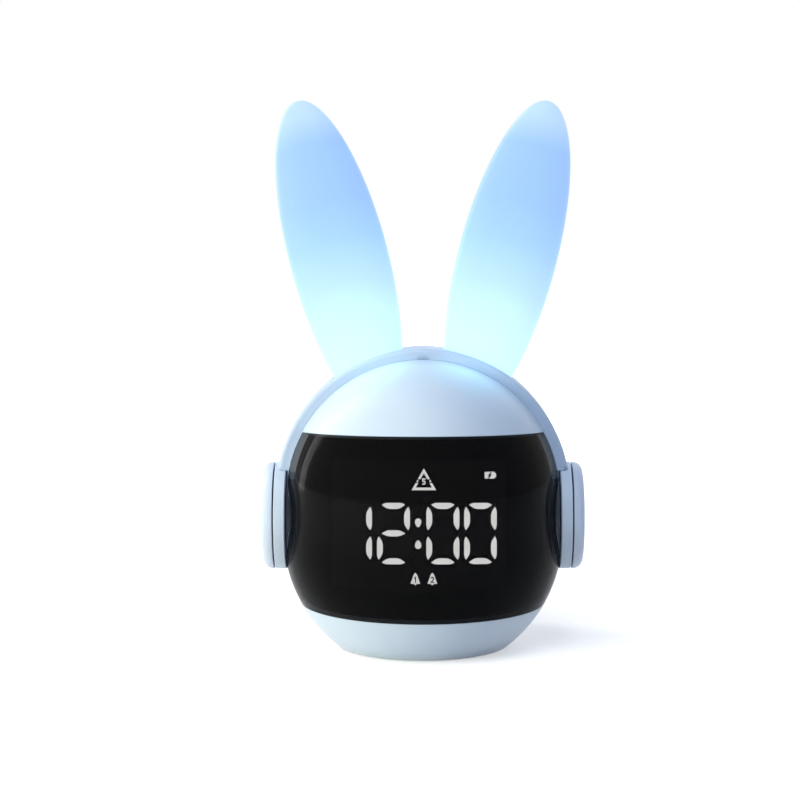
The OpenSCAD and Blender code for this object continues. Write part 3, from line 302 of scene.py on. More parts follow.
# %% Small materials
def metal(name, light, deep, roughness):
    """Plated or turned metal: fine scratches change its tone and roughness."""
    material, tree, at = start(name)
    marks = add(tree, "ShaderNodeTexNoise", {"Vector": at, "Scale": per(0.12), "Detail": 3.0})
    tone = add(tree, "ShaderNodeValToRGB", {"Fac": marks.outputs["Fac"]},
               stops=[(0.3, paint(deep)), (0.7, paint(light))])
    rough = add(tree, "ShaderNodeMapRange", {"Value": marks.outputs["Fac"], "To Min": roughness - 0.06,
                                             "To Max": roughness + 0.08})
    close(tree, add(tree, "ShaderNodeBsdfPrincipled", {
        "Base Color": tone.outputs["Color"], "Metallic": 1.0, "Roughness": rough.outputs["Result"]}))
    return material


def board(name, mask, copper):
    """A circuit board: copper under the solder mask shows as paler paths, 3.2 mm apart."""
    material, tree, at = start(name)
    paths = add(tree, "ShaderNodeTexVoronoi", {"Vector": at, "Scale": per(3.2)}, distance="CHEBYCHEV")
    tone = add(tree, "ShaderNodeValToRGB", {"Fac": paths.outputs["Distance"]},
               stops=[(0.36, paint(mask)), (0.42, paint(copper))])
    bump = add(tree, "ShaderNodeBump", {"Height": paths.outputs["Distance"], "Distance": 0.03 * MM,
                                        "Strength": 0.4})
    close(tree, add(tree, "ShaderNodeBsdfPrincipled", {
        "Base Color": tone.outputs["Color"], "Roughness": 0.35, "Normal": bump.outputs["Normal"]}))
    return material


steel = metal("steel_zinc_plated", "c9cbcd", "b4b7ba", 0.3)
tin = metal("steel_tinned", "d2d3d2", "bfc1c1", 0.25)
green_board = board("fibreglass_green_mask", "0f4a2c", "1d6a40")
white_board = board("fibreglass_white_mask", "dcdcd6", "cfcfc8")
rubber = plastic("rubber_moulded_grey", "3a3c40", "33353a", 0.75, grain=0.6, depth=0.02, ior=1.52)
paper = plastic("paper_pressed_dark", "26262a", "1e1e21", 0.8, grain=0.25, depth=0.03, ior=1.45)
wrap = plastic("vinyl_shrink_blue", "2f5a9c", "2a5290", 0.28, grain=2.5, depth=0.03)
lead_cover = plastic("vinyl_extruded_black", "17171a", "101013", 0.38)
lamp_resin = plastic("epoxy_lamp_white", "f0efe6", "e6e4d6", 0.3)
chip_epoxy = plastic("epoxy_moulded_chip", "1b1b1d", "151517", 0.55, grain=0.2)
print("metals and boards:", steel.name, tin.name, green_board.name, white_board.name)

# %% [markdown]
# ## The ears
# An ear is one hollow moulding, a long flat oval with a stem that stands in the case. Only its
# outside shows, so the hollow isn't made. A sphere stretched on each axis gives the exact curve.
# It is cut flat where the stem begins, and the cut's rim is extruded down into the case, a hair
# narrower, as the real part steps in.

# %% Ears
STEM_TOP, STEM_END = -3.4, -9.5  # along the ear, from the point that it leans from
STEM_SHARE = 0.984               # the stem's size as a share of the oval's where it is cut


def ear_turn(side):
    """From the ear's own upright axes to its place on the clock."""
    return (Matrix.Translation((side * EAR_AT[0], 0, EAR_AT[1]))
            @ Matrix.Rotation(math.radians(side * EAR_LEAN), 4, "Y"))


for name, side in (("ear_left", -1), ("ear_right", 1)):
    bm = bmesh.new()
    bmesh.ops.create_uvsphere(bm, u_segments=96, v_segments=72, radius=1)
    bmesh.ops.scale(bm, vec=EAR_HALF, verts=bm.verts)
    bmesh.ops.translate(bm, vec=(0, 0, EAR_MID), verts=bm.verts)
    rim = only(BMEdge, slice_all(bm, (0, 0, STEM_TOP), (0, 0, -1), clear_outer=True)["geom_cut"])
    step = bmesh.ops.extrude_edge_only(bm, edges=rim)["geom"]
    bmesh.ops.scale(bm, vec=(STEM_SHARE, STEM_SHARE, 1), verts=only(BMVert, step))
    stem = bmesh.ops.extrude_edge_only(bm, edges=only(BMEdge, step))["geom"]
    bmesh.ops.translate(bm, vec=(0, 0, STEM_END - STEM_TOP), verts=only(BMVert, stem))
    bmesh.ops.contextual_create(bm, geom=only(BMEdge, stem))
    bmesh.ops.transform(bm, matrix=ear_turn(side), verts=bm.verts)
    piece(name + "_diffuser", bm, "clock", [name], [glow], sharp=50)

# %% [markdown]
# ## The window
# The window follows the body's round surface, so a flat grid is laid on it: each row of the
# grid goes to a height, each column to an angle round the clock. Its sides leave room for the
# bow above the cups and run round the cups below. The sheet then gets its 2 mm of thickness
# inwards, and the outer edge is rounded a little, as a polished edge is. Cutting it out of the
# body with a boolean would leave long thin faces, which show in a glossy surface.

# %% Edges of the window
PANEL_BOTTOM, PANEL_TOP = 14.0, 67.8
TOP_SLOPE = math.tan(math.radians(4))  # the top edge falls towards the back
PANEL_T = 2.0
NOTCH_R = 15.1                         # round notch beside each cup
BAND_EDGE, SEAM_EDGE = -8.5, -1.5      # y of the side edge beside the bow, and below the cups


def side_edge(z):
    """How far forward the window's side edge lies at height z."""
    reach = NOTCH_R ** 2 - (z - CUP_Z) ** 2
    straight = BAND_EDGE if z > CUP_Z else SEAM_EDGE
    return min(straight, -math.sqrt(reach)) if reach > 0 else straight


def top_edge(angle):
    """Height of the window's top edge at an angle round the clock; a few rounds settle it."""
    z = PANEL_TOP
    for _ in range(5):
        z = PANEL_TOP + body_radius(z) * math.sin(angle) * TOP_SLOPE
    return z


print("top edge in front and at the side:", round(top_edge(math.pi / 2), 2), round(top_edge(0), 2))

# %% Window
COLUMNS, ROWS = 240, 110
TOP_GUESS = PANEL_TOP + 2.5  # first height for the top row, before the rounds that settle it
POLISHED_R = 0.35

bm = bmesh.new()
bmesh.ops.create_grid(bm, x_segments=COLUMNS, y_segments=ROWS, size=0.5)
for v in bm.verts:
    across, up = v.co.x + 0.5, v.co.y + 0.5
    z = PANEL_BOTTOM + up * (TOP_GUESS - PANEL_BOTTOM)
    for _ in range(4):
        edge = math.asin(-side_edge(z) / body_radius(z))
        angle = edge + across * (math.pi - 2 * edge)
        z = PANEL_BOTTOM + up * (top_edge(angle) - PANEL_BOTTOM)
    r = body_radius(z)
    v.co = (-r * math.cos(angle), -r * math.sin(angle), z)
bmesh.ops.recalc_face_normals(bm, faces=bm.faces)
if sum(f.normal.y for f in bm.faces) > 0:
    bmesh.ops.reverse_faces(bm, faces=bm.faces)
bmesh.ops.solidify(bm, geom=bm.faces[:], thickness=PANEL_T)
for v in bm.verts:
    reach = math.hypot(v.co.y, v.co.z - CUP_Z)
    if reach < NOTCH_R:
        v.co.y, v.co.z = v.co.y * NOTCH_R / reach, CUP_Z + (v.co.z - CUP_Z) * NOTCH_R / reach
corner = [e for e in bm.edges if len(e.link_faces) == 2 and e.calc_face_angle(0) > math.radians(50)]
bmesh.ops.bevel(bm, geom=corner, affect="EDGES", offset=POLISHED_R, offset_type="OFFSET", segments=3,
                profile=0.5, material=-1, clamp_overlap=True)

# %% [markdown]
# ### What shows through the window
# One sheet carries four finishes. It is clear in front of the display and printed black behind
# everywhere else. Beside the bow its edge catches the case's blue, and the first columns round
# the cups are painted navy, a painted shade like the one on the cups' necks. Each face gets its finish from
# where its centre lies.

# %% Finishes on the window
OPENING_HALF, OPENING_LOW, OPENING_HIGH = 26.5, 24, 63  # clear in front of the display
PRINT_DEPTH = 1.5              # what lies deeper is the sheet's back
EDGE_NEAR, SKIN = 0.3, 0.2     # so close to the side edge and under the skin, it is the edge itself
BLUE_FROM = CUP_Z + NOTCH_R - 1
# columns round the cups that take the navy painted shade
PAINTED_SHADE_COLUMNS = 4


def window_face(at):
    """Clear at 0, printed black behind at 1, the case's blue above the cups at 2, navy painted shade at 3."""
    first = math.asin(-side_edge(at.z) / body_radius(at.z))
    column = (math.atan2(-at.y, abs(at.x)) - first) / (math.pi - 2 * first) * COLUMNS
    if abs(at.z - CUP_Z) < NOTCH_R and column < PAINTED_SHADE_COLUMNS:
        return 3
    below = body_radius(at.z) - math.hypot(at.x, at.y)
    if at.y > side_edge(at.z) - EDGE_NEAR and below > SKIN:
        return 2 if at.z > BLUE_FROM else 1
    outside = abs(at.x - COLON_X) > OPENING_HALF or not OPENING_LOW < at.z < OPENING_HIGH
    return int(below > PRINT_DEPTH and outside)


piece("front_window", bm, "clock", ["front_panel"], [smoked, ink, case_abs, painted_shade_navy],
      sharp=40, choose=window_face)

# %% [markdown]
# ## Cups and caps
# Cups and caps are round, so each is an outline spun about the cup's axis. The corners of the
# outline are rounded before the spin: a small radius where the two meet, which makes the seam
# read as a soft line, and a large one on the cap's outer edge.


# %% Turned shapes
def round_corners(bm, corners, radius, segments=5):
    """Round the corners of an outline and give back the new vertices."""
    return bmesh.ops.bevel(bm, geom=corners, offset=radius, offset_type="OFFSET", segments=segments,
                           profile=0.5, affect="VERTICES", material=-1)["verts"]


def lathe(bm, outline, steps=96):
    """Spin an outline of (radius, height) or (radius, height, corner radius) round Z."""
    corners = [bm.verts.new((point[0], 0, point[1])) for point in outline]
    for pair in zip(corners, corners[1:]):
        bm.edges.new(pair)
    for corner, point in zip(corners, outline):
        if len(point) > 2:
            round_corners(bm, [corner], point[2])
    bmesh.ops.spin(bm, geom=bm.verts[:] + bm.edges[:], cent=(0, 0, 0), axis=(0, 0, 1), dvec=(0, 0, 0),
                   angle=math.tau, steps=steps, use_merge=True)


def along_x(side, z):
    """A transform that lays +Z along the X axis of a cup, to the left or to the right."""
    return Matrix.Translation((0, 0, z)) @ Matrix.Rotation(math.radians(90 * side), 4, "Y")


# %% Cups and caps
CUP_R, LEDGE_R, WELL_R, NECK_R, PLUG_R = 16.8, 15.4, 14.6, 14.8, 11.8
CUP_IN, CUP_OUT = 42.8, 46.2           # distances from the clock's middle plane
LEDGE, WELL_FLOOR = 45.0, 44.4
PLUG_END, PLUG_FLOOR = 36.0, 37.5
CAP_IN, CAP_OUT = 46.65, 50.05
CAP_ROUND, CAP_WALL = 2.9, 1.8

cup_outline = [
    (0, WELL_FLOOR), (WELL_R, WELL_FLOOR), (WELL_R, LEDGE, 0.2), (LEDGE_R, LEDGE, 0.2),
    (LEDGE_R, CUP_OUT, 0.3), (CUP_R, CUP_OUT, 0.15), (CUP_R, CUP_IN, 0.25),
    (NECK_R + 0.5, CUP_IN, 0.15), (NECK_R, CUP_IN - 0.5), (NECK_R, PLUG_END),
    (PLUG_R, PLUG_END, 0.2), (PLUG_R, PLUG_FLOOR), (0, PLUG_FLOOR)]
cap_outline = [
    (0, CAP_OUT), (CUP_R, CAP_OUT, CAP_ROUND), (CUP_R, CAP_IN, 0.15), (CUP_R - CAP_WALL, CAP_IN, 0.3),
    (CUP_R - CAP_WALL, CAP_OUT - CAP_WALL, 0.5), (0, CAP_OUT - CAP_WALL)]
for name, side in (("left", -1), ("right", 1)):
    bm = bmesh.new()
    lathe(bm, cup_outline)
    bmesh.ops.transform(bm, matrix=along_x(side, CUP_Z), verts=bm.verts)
    # the neck, inside the cup's inner face, is painted navy: painted shade for the dark gap between the ring
    # and the case
    piece("ear_cup_%s_ring" % name, bm, "clock", ["ear_cup_" + name], [case_abs, painted_shade_navy],
          choose=lambda at: int(abs(at.x) < CUP_IN - 0.1))
    bm = bmesh.new()
    lathe(bm, cap_outline, steps=128)
    bmesh.ops.transform(bm, matrix=along_x(side, CUP_Z), verts=bm.verts)
    piece("ear_cap_%s_shell" % name, bm, "cap_" + name, ["ear_cap_" + name], [cap_abs])

# %% [markdown]
# ## Digits and marks
# Each segment is the milky end of a light channel, a bar whose ends run to a point. The marks
# are a triangle with a 5, for the five extra minutes, two bells with the alarm's number, and a
# battery. All are drawn flat, where corners are easy to round, and then laid on the round face
# behind the window. A text object would give a font's shapes, which look nothing like segments.

# %% Flat shapes
SEGMENT_T = 1.75       # thickness of a segment
DISPLAY_DEPTH = 2.18   # from the body's outer surface to the segments' faces
DISPLAY_HALF = 24      # half the width that the digits and marks take up
DISPLAY_T = 0.6
SINK = 0.155           # how far a shape sinks for each millimetre that it lies further back


def slab(bm, x, z, width, height, radius=0, rounded=4, turn=0):
    """A flat rectangle; either all its corners are rounded or only the lower 2."""
    rim = [bm.verts.new((side * width / 2, 0, up * height / 2))
           for side, up in ((-1, -1), (1, -1), (1, 1), (-1, 1))]
    for pair in zip(rim, rim[1:] + rim[:1]):
        bm.edges.new(pair)
    made = set(rim)
    if radius:
        made -= set(rim[:rounded])
        made |= set(round_corners(bm, rim[:rounded], radius, segments=6))
    bmesh.ops.contextual_create(bm, geom=list({e for v in made for e in v.link_edges}))
    bmesh.ops.rotate(bm, cent=(0, 0, 0), matrix=Matrix.Rotation(math.radians(turn), 3, "Y"),
                     verts=list(made))
    bmesh.ops.translate(bm, vec=(x, 0, z), verts=list(made))


def disc(bm, x, z, radius, steps):
    """A flat round face."""
    made = bmesh.ops.create_circle(bm, cap_ends=True, radius=radius, segments=steps)["verts"]
    bmesh.ops.rotate(bm, cent=(0, 0, 0), matrix=Matrix.Rotation(math.radians(90), 3, "X"), verts=made)
    bmesh.ops.translate(bm, vec=(x, 0, z), verts=made)
    return made


def flat(bm, points, x, z):
    """A flat face with a few corners, drawn about x, z."""
    return bm.faces.new([bm.verts.new((x + across, 0, z + up)) for across, up in points])


def hollow(bm, face, width):
    """Leave only a rim of this width of a flat face."""
    bmesh.ops.inset_region(bm, faces=[face], thickness=width, use_even_offset=True, use_boundary=True)
    bmesh.ops.delete(bm, geom=[face], context="FACES")


def lay_on(bm, depth, thick):
    """Push flat faces back onto the round face that lies this deep, and give them a thickness.

    What is pushed back also sinks a little, so that a row of digits looks straight from above."""
    for x in range(-DISPLAY_HALF, DISPLAY_HALF + 1):
        slice_all(bm, (x, 0, 0), (1, 0, 0))
    grown = bmesh.ops.extrude_face_region(bm, geom=bm.faces[:], use_keep_orig=True)["geom"]
    back = set(only(BMVert, grown))
    middle = body_radius(DIGIT_Z, depth)
    for v in bm.verts:
        front = -math.sqrt(middle ** 2 - v.co.x ** 2)
        v.co.z -= SINK * (front + middle)
        v.co.y = -math.sqrt(body_radius(v.co.z, depth) ** 2 - v.co.x ** 2) + (thick if v in back else 0)


# %% [markdown]
# ### One segment
# A segment is a hexagon whose inner side is shorter than its outer side. Its six corners are
# rounded by different amounts: the inner shoulders most, the outer ones less, the tips hardly.


# %% Segments that show 12:00
def segment(bm, x, z, length, turn, inner=1.75, outer=1.15, tip=0.7):
    """A bar whose sides end this far before its tips, which lie at a share of its thickness."""
    low, high = -SEGMENT_T / 2, SEGMENT_T / 2
    tips = [bm.verts.new((side * length / 2, 0, low + tip * SEGMENT_T)) for side in (-1, 1)]
    foot = [bm.verts.new((side * (length / 2 - inner), 0, low)) for side in (-1, 1)]
    head = [bm.verts.new((side * (length / 2 - outer), 0, high)) for side in (-1, 1)]
    bm.faces.new((tips[0], foot[0], foot[1], tips[1], head[1], head[0]))
    made = set()
    for corners, radius in ((foot, 0.9), (head, 0.55), (tips, 0.1)):
        made -= set(corners)
        made |= set(round_corners(bm, corners, radius))
    made = [v for v in made if v.is_valid]
    bmesh.ops.rotate(bm, cent=(0, 0, 0), matrix=Matrix.Rotation(math.radians(turn), 3, "Y"), verts=made)
    bmesh.ops.translate(bm, vec=(x, 0, z), verts=made)


DIGIT_H, DIGIT_W, SEGMENT_L = 18.3, 9.85, 6.95
UPPER_Z, LOWER_Z = 4.515, -4.315  # middles of the upright segments
out_x, out_z = (DIGIT_W - SEGMENT_T) / 2, (DIGIT_H - SEGMENT_T) / 2
bars = {
    "top": (0, out_z, 0), "upper right": (out_x, UPPER_Z, 90), "lower right": (out_x, LOWER_Z, 90),
    "bottom": (0, -out_z, 180), "lower left": (-out_x, LOWER_Z, -90),
    "upper left": (-out_x, UPPER_Z, -90)}
one = ("upper right", "lower right")
two = ("top", "upper right", "middle", "lower left", "bottom")
zero = tuple(bars)
digit_x = (-18.7, -7.35, 7.35, 18.62)  # from the colon to the middle of each digit
bm = bmesh.new()
for offset, shown in zip(digit_x, (one, two, zero, zero)):
    for spot in shown:
        if spot == "middle":
            segment(bm, COLON_X + offset, DIGIT_Z + 0.1, SEGMENT_L + 0.1, 0, outer=1.75, tip=0.5)
        else:
            x, z, turn = bars[spot]
            segment(bm, COLON_X + offset + x, DIGIT_Z + z, SEGMENT_L, turn)

# %% The colon's dots
DOT_R, DOT_Z = 0.94, 3.57
DOT_LONG, DOT_TAPER = 1.7, 0.3  # the half towards the middle is drawn out and narrows

for way in (-1, 1):
    dot = disc(bm, 0, 0, DOT_R, 32)
    for v in dot:
        if v.co.z * way < 0:
            v.co.x *= 1 - DOT_TAPER * v.co.z ** 2
            v.co.z *= DOT_LONG
    bmesh.ops.translate(bm, vec=(COLON_X, 0, DIGIT_Z + way * DOT_Z), verts=dot)
lay_on(bm, DISPLAY_DEPTH, DISPLAY_T)
piece("digits_glowing", bm, "clock", ["digits_lit"], [lit])

# %% Marks around the digits
ICON_X = COLON_X + 1.7
TRIANGLE_Z, TRIANGLE_HALF, TRIANGLE_H = DIGIT_Z + 12.95, 3.65, 6.25
BREAK = (2.0, 3.2)  # the triangle's sides are broken between these heights
BELL_STEP, BELL_Z = 5.06, DIGIT_Z - 15.15
BATTERY_X, BATTERY_Z = COLON_X + 21.4, DIGIT_Z + 17.35


def stroke(bm, points, x, z, width, size=1):
    """Thin bars from point to point, for a small number drawn about x, z."""
    for (xa, za), (xb, zb) in zip(points, points[1:]):
        length = math.hypot(xb - xa, zb - za) * size + width
        slab(bm, x + (xa + xb) / 2 * size, z + (za + zb) / 2 * size, length, width,
             turn=-math.degrees(math.atan2(zb - za, xb - xa)))


bm = bmesh.new()
triangle = flat(bm, [(-TRIANGLE_HALF, 0), (TRIANGLE_HALF, 0), (0, TRIANGLE_H)], ICON_X, TRIANGLE_Z)
bm.normal_update()
hollow(bm, triangle, 0.68)
for height in BREAK:
    slice_all(bm, (0, 0, TRIANGLE_Z + height), (0, 0, 1))
broken = [f for f in bm.faces if BREAK[0] < f.calc_center_median().z - TRIANGLE_Z < BREAK[1]]
bmesh.ops.delete(bm, geom=broken, context="FACES")
for side in (-1, 1):
    slab(bm, ICON_X + side * 1.9, TRIANGLE_Z + 2.6, 0.5, 0.5, 0.2)
five = [(0.45, 0.9), (-0.4, 0.9), (-0.4, 0.1), (0.3, 0.1), (0.45, -0.3), (0.3, -0.8), (-0.45, -0.8)]
stroke(bm, five, ICON_X, TRIANGLE_Z + 2.45, 0.26, size=0.85)
bell = [(-1.42, 0), (-1.1, 0.9), (-0.75, 2.0), (-0.45, 2.9), (0, 3.4), (0.45, 2.9), (0.75, 2.0),
        (1.1, 0.9), (1.42, 0)]
for side in (-0.5, 0.5):
    x = ICON_X + side * BELL_STEP
    flat(bm, bell, x, BELL_Z)
    slab(bm, x, BELL_Z - 0.28, 0.6, 0.36, 0.25, rounded=2)
slab(bm, BATTERY_X, BATTERY_Z, 3.05, 1.9, 0.2)
slab(bm, BATTERY_X + 1.75, BATTERY_Z, 0.4, 1.1, 0.15)
lay_on(bm, DISPLAY_DEPTH, DISPLAY_T)
piece("marks_glowing", bm, "clock", ["display_icons"], [lit])

# %% [markdown]
# ### Numbers and bolt on the marks
# The alarm's number on each bell and the bolt on the battery are dark on a lit ground. They are
# a thin layer of ink, drawn with the same strokes and laid just in front of the lit marks.

# %% Printing on the marks
INK_AHEAD, INK_T = 0.06, 0.05

bm = bmesh.new()
number_one = [(-0.3, 0.55), (0.05, 0.85), (0.05, -0.75)]
number_two = [(-0.4, 0.6), (0, 0.85), (0.4, 0.55), (0.3, 0.1), (-0.4, -0.75), (0.45, -0.75)]
for number, side in ((number_one, -0.5), (number_two, 0.5)):
    stroke(bm, number, ICON_X + side * BELL_STEP, BELL_Z + 1.25, 0.3)
bolt = [(0.35, 0.72), (-0.35, -0.08), (0.35, 0.08), (-0.35, -0.72)]
stroke(bm, bolt, BATTERY_X, BATTERY_Z, 0.34)
lay_on(bm, DISPLAY_DEPTH - INK_AHEAD, INK_T)
piece("marks_printed", bm, "clock", [], [ink])

# %% [markdown]
# ## Screws with a cross recess
# A pan head is a turned shape with a stamped cross. The head and its shank are spun, the cross
# is cut out with a boolean, because a cut with slanted walls has no single operator, and the
# finished screw is then copied to every place where it sits. The cross is two bars that overlap.
# The exact solver leaves nothing of the screw with such a cutter, so the manifold one is used.


# %% A screw
def take_out(bm, cutter):
    """Take one shape out of another and return what is left."""
    pair = []
    for shape in (bm, cutter):
        mesh = bpy.data.meshes.new("for_cutting")
        shape.to_mesh(mesh)
        shape.free()
        pair.append(bpy.data.objects.new("for_cutting", mesh))
        bpy.context.scene.collection.objects.link(pair[-1])
    modifier = pair[0].modifiers.new("cut", "BOOLEAN")
    modifier.object, modifier.operation, modifier.solver = pair[1], "DIFFERENCE", "MANIFOLD"
    left = bmesh.new()
    left.from_object(pair[0], bpy.context.evaluated_depsgraph_get())
    for done in pair:
        bpy.data.meshes.remove(done.data)
    return left


def one_screw(head_r, shank_r, length):
    """A pan head screw whose head stands on z = 0; the sizes of its cross follow the head."""
    tall = head_r * 0.7
    bm = bmesh.new()
    lathe(bm, [(0, tall), (head_r, tall, tall * 0.55), (head_r, 0, 0.08), (shank_r, 0),
               (shank_r, -length, shank_r * 0.6), (0, -length)], steps=40)
    bmesh.ops.remove_doubles(bm, verts=bm.verts, dist=SAME)
    bmesh.ops.recalc_face_normals(bm, faces=bm.faces)
    cross = bmesh.new()
    for turn in (0, 90):
        bar = bmesh.ops.create_cube(cross, size=1)["verts"]
        bmesh.ops.scale(cross, vec=(head_r * 1.15, head_r * 0.26, tall), verts=bar)
        # the punch that stamps the cross narrows towards its end
        bmesh.ops.scale(cross, vec=(0.72, 0.6, 1), verts=[v for v in bar if v.co.z < 0])
        bmesh.ops.rotate(cross, cent=(0, 0, 0), matrix=Matrix.Rotation(math.radians(turn), 3, "Z"), verts=bar)
        bmesh.ops.translate(cross, vec=(0, 0, tall * 0.92), verts=bar)
    return take_out(bm, cross)


# %% Screws in their places
CASE_SCREW_Y = 4.0
PLATE_SCREW_R, PLATE_SCREW_Y, PLATE_Z = 20.2, 36.31, 37
BASE_SCREW_R, BASE_SCREW_Z = 23, 1.38


def along_y(x, y, z):
    """A transform that turns +Z to +Y, out of the clock's back."""
    return Matrix.Translation((x, y, z)) @ Matrix.Rotation(math.radians(-90), 4, "X")


def on_circle(radius, *degrees):
    """Points on a circle at these angles."""
    return [(radius * math.cos(math.radians(a)), radius * math.sin(math.radians(a))) for a in degrees]


def screws(name, sizes, places):
    """A group of equal screws, one at each place."""
    master = bpy.data.meshes.new("screw")
    made = one_screw(*sizes)
    made.to_mesh(master)
    made.free()
    bm = bmesh.new()
    for place in places:
        before = set(bm.verts)
        bm.from_mesh(master)
        bmesh.ops.transform(bm, matrix=place, verts=[v for v in bm.verts if v not in before])
    bpy.data.meshes.remove(master)
    piece(name + "_turned", bm, "clock", [name], [steel], sharp=35)


screws("case_screws", (2.1, 1.1, 11),
       [along_y(x, CASE_SCREW_Y, z) for x, z in ((-32, 20.6), (32, 20.6), (-23.1, 69), (23.1, 69))])
screws("plate_screws", (1.4, 0.75, 4.3),
       [along_y(x, PLATE_SCREW_Y, PLATE_Z + z) for x, z in on_circle(PLATE_SCREW_R, 90, 190, 350)])
screws("base_screws", (1.4, 0.75, 5),
       [Matrix.Translation((x, y, BASE_SCREW_Z)) @ Matrix.Rotation(math.pi, 4, "X")
        for x, y in on_circle(BASE_SCREW_R, 60, 120, 240, 300)])

# %% [markdown]
# ## The buttons at the back
# The five buttons are small turned shapes with a hollow for the fingertip and a mark: a ring to
# set, a bell for the alarm, arrows up and down, and a sun for the light. Marks are flat shapes
# that get a hair of thickness, as pad printing does.


# %% Flat marks on the buttons
def thicken(bm, near, far):
    """Give what is still drawn flat, at y = 0, a thickness from one y to another."""
    faces = [f for f in bm.faces if all(abs(v.co.y) < 0.01 for v in f.verts)]
    drawn = {v for f in faces for v in f.verts}
    grown = set(only(BMVert, bmesh.ops.extrude_face_region(bm, geom=faces, use_keep_orig=True)["geom"]))
    bmesh.ops.translate(bm, vec=(0, near, 0), verts=list(drawn - grown))
    bmesh.ops.translate(bm, vec=(0, far, 0), verts=list(grown))


def mark(bm, kind, x, z):
    """A button's mark, drawn flat in an empty bmesh."""
    if kind == "set":
        disc(bm, x, z, 0.85, 40)
        hollow(bm, bm.faces[:][0], 0.3)
    elif kind == "light":
        disc(bm, x, z, 0.42, 24)
        for turn in range(0, 360, 45):
            across, up = on_circle(0.9, turn)[0]
            slab(bm, x + across, z + up, 0.45, 0.22, turn=-turn)
    else:
        flat(bm, mark_outlines[kind], x, z)


mark_outlines = {
    "alarm": [(-0.85, -0.6), (0.85, -0.6), (0.6, -0.2), (0.45, 0.55), (0, 0.9), (-0.45, 0.55), (-0.6, -0.2)],
    "up": [(-0.8, -0.5), (0.8, -0.5), (0, 0.8)],
    "down": [(-0.8, 0.5), (0.8, 0.5), (0, -0.8)]}
print("marks drawn by their corners:", list(mark_outlines))

# %% Buttons at the back
BUTTON_R, FLANGE_R = 2.4, 2.9
BUTTON_Z, BUTTON_STEP = 48.4, 6.3
HOLLOW, BUTTON_OUT, FLANGE_OUT, FLANGE_IN = 38.2, 38.41, 35.11, 34.11  # distances from the seam

for i, kind in enumerate(("set", "alarm", "up", "down", "light")):
    body, x = "button_" + kind, (i - 2) * BUTTON_STEP
    bm = bmesh.new()
    lathe(bm, [(0, HOLLOW), (1.5, HOLLOW + 0.06, 1.2), (BUTTON_R, BUTTON_OUT, 0.4), (BUTTON_R, FLANGE_OUT),
               (FLANGE_R, FLANGE_OUT, 0.1), (FLANGE_R, FLANGE_IN, 0.1), (0, FLANGE_IN)], steps=64)
    bmesh.ops.transform(bm, matrix=along_y(x, 0, BUTTON_Z), verts=bm.verts)
    piece(body + "_cap", bm, body, [body], [button_abs])
    bm = bmesh.new()
    mark(bm, kind, x, BUTTON_Z)
    thicken(bm, HOLLOW - 0.02, HOLLOW + 0.13)
    piece(body + "_mark", bm, body, [], [mark_ink])

# %% [markdown]
# ## Inlet and switch
# The inlet is a drawn steel shell with a plastic tongue in it, and the switch has a ribbed
# knob. All three are straight along their depth, so each is a flat outline that gets a
# thickness. A second outline in the same piece, such as the inlet's floor or a rib, is drawn
# after the first has its thickness.

# %% Inlet and switch
INLET_X, KNOB_X, PORT_Z = -5, 5.5, 22.6

bm = bmesh.new()
slab(bm, INLET_X, PORT_Z, 9, 3.3, 1.3)
hollow(bm, bm.faces[:][0], 0.35)
thicken(bm, 30.45, 36.71)
piece("usb_socket_shell", bm, "clock", ["usb_socket"], [tin], sharp=40)
bm = bmesh.new()
slab(bm, INLET_X, PORT_Z, 6.66, 0.7, 0.2)
thicken(bm, 30.6, 35.4)
slab(bm, INLET_X, PORT_Z, 8.2, 2.5, 1.0)
thicken(bm, 30.5, 31.0)
piece("usb_socket_tongue", bm, "clock", [], [black_abs], sharp=40)
bm = bmesh.new()
slab(bm, KNOB_X, PORT_Z, 1.6, 1.2, 0.2)
thicken(bm, 31.91, 38.0)
for rib in (-0.5, 0, 0.5):
    slab(bm, KNOB_X + rib, PORT_Z, 0.22, 1.0)
    thicken(bm, 37.95, 38.2)
piece("power_knob_ribbed", bm, "power_knob", ["power_knob"], [black_abs], sharp=40)

# %% [markdown]
# ## Foot pad
# The pad is a thin rubber disc with raised rings that grip the table. Its underside is an
# outline with two raised rings and a rim, spun once, so that the rings are real steps.

# %% Foot pad
PAD_R, PAD_TOP, GROOVE, SLOPE = 21, 1, 0.3, 0.4

pad_outline = [(0, GROOVE)]
for inner, outer in ((8.4, 12), (14, 17)):
    pad_outline += [(inner - SLOPE, GROOVE), (inner, 0, 0.15), (outer, 0, 0.15), (outer + SLOPE, GROOVE)]
pad_outline += [(18.6, GROOVE), (19, 0, 0.15), (PAD_R, 0, 0.35), (PAD_R, PAD_TOP), (0, PAD_TOP)]
bm = bmesh.new()
lathe(bm, pad_outline, steps=128)
piece("foot_pad_ringed", bm, "clock", ["foot_pad"], [rubber], sharp=35)

# %% [markdown]
# ## Case, bow and plates
# The shells, the bow and the plates have many cuts, wells and slots that the CAD already holds
# exactly. A copy with its triangles merged shades as one smooth surface and keeps each of them.
# Long triangles still bend the light on a ball, so the corners on the shells' outer surface get
# the normal of the exact ball or cone. The plates are flat, and there the large faces decide.


# %% Smooth copies of CAD pieces
def smooth_copy(node, material):
    """A copy of a CAD piece with its triangles merged, so that its curves shade smoothly."""
    bm = bmesh.new()
    bm.from_mesh(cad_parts[node].data)
    bmesh.ops.remove_doubles(bm, verts=bm.verts, dist=2 * SAME * MM)
    return hand_over(node + "_moulded", bm, "clock", [node], [material], sharp=25)


def body_normal(x, y, z):
    """The normal of the body's exact surface at a point on it."""
    for (r, middle), sign in ((LOWER_BALL, -1), (UPPER_BALL, 1)):
        if sign * (z - middle - r * math.sin(flare)) > 0:
            return Vector((x, y, z - middle)).normalized()
    return (Vector((x, y, 0)).normalized() + Vector((0, 0, math.tan(flare)))).normalized()


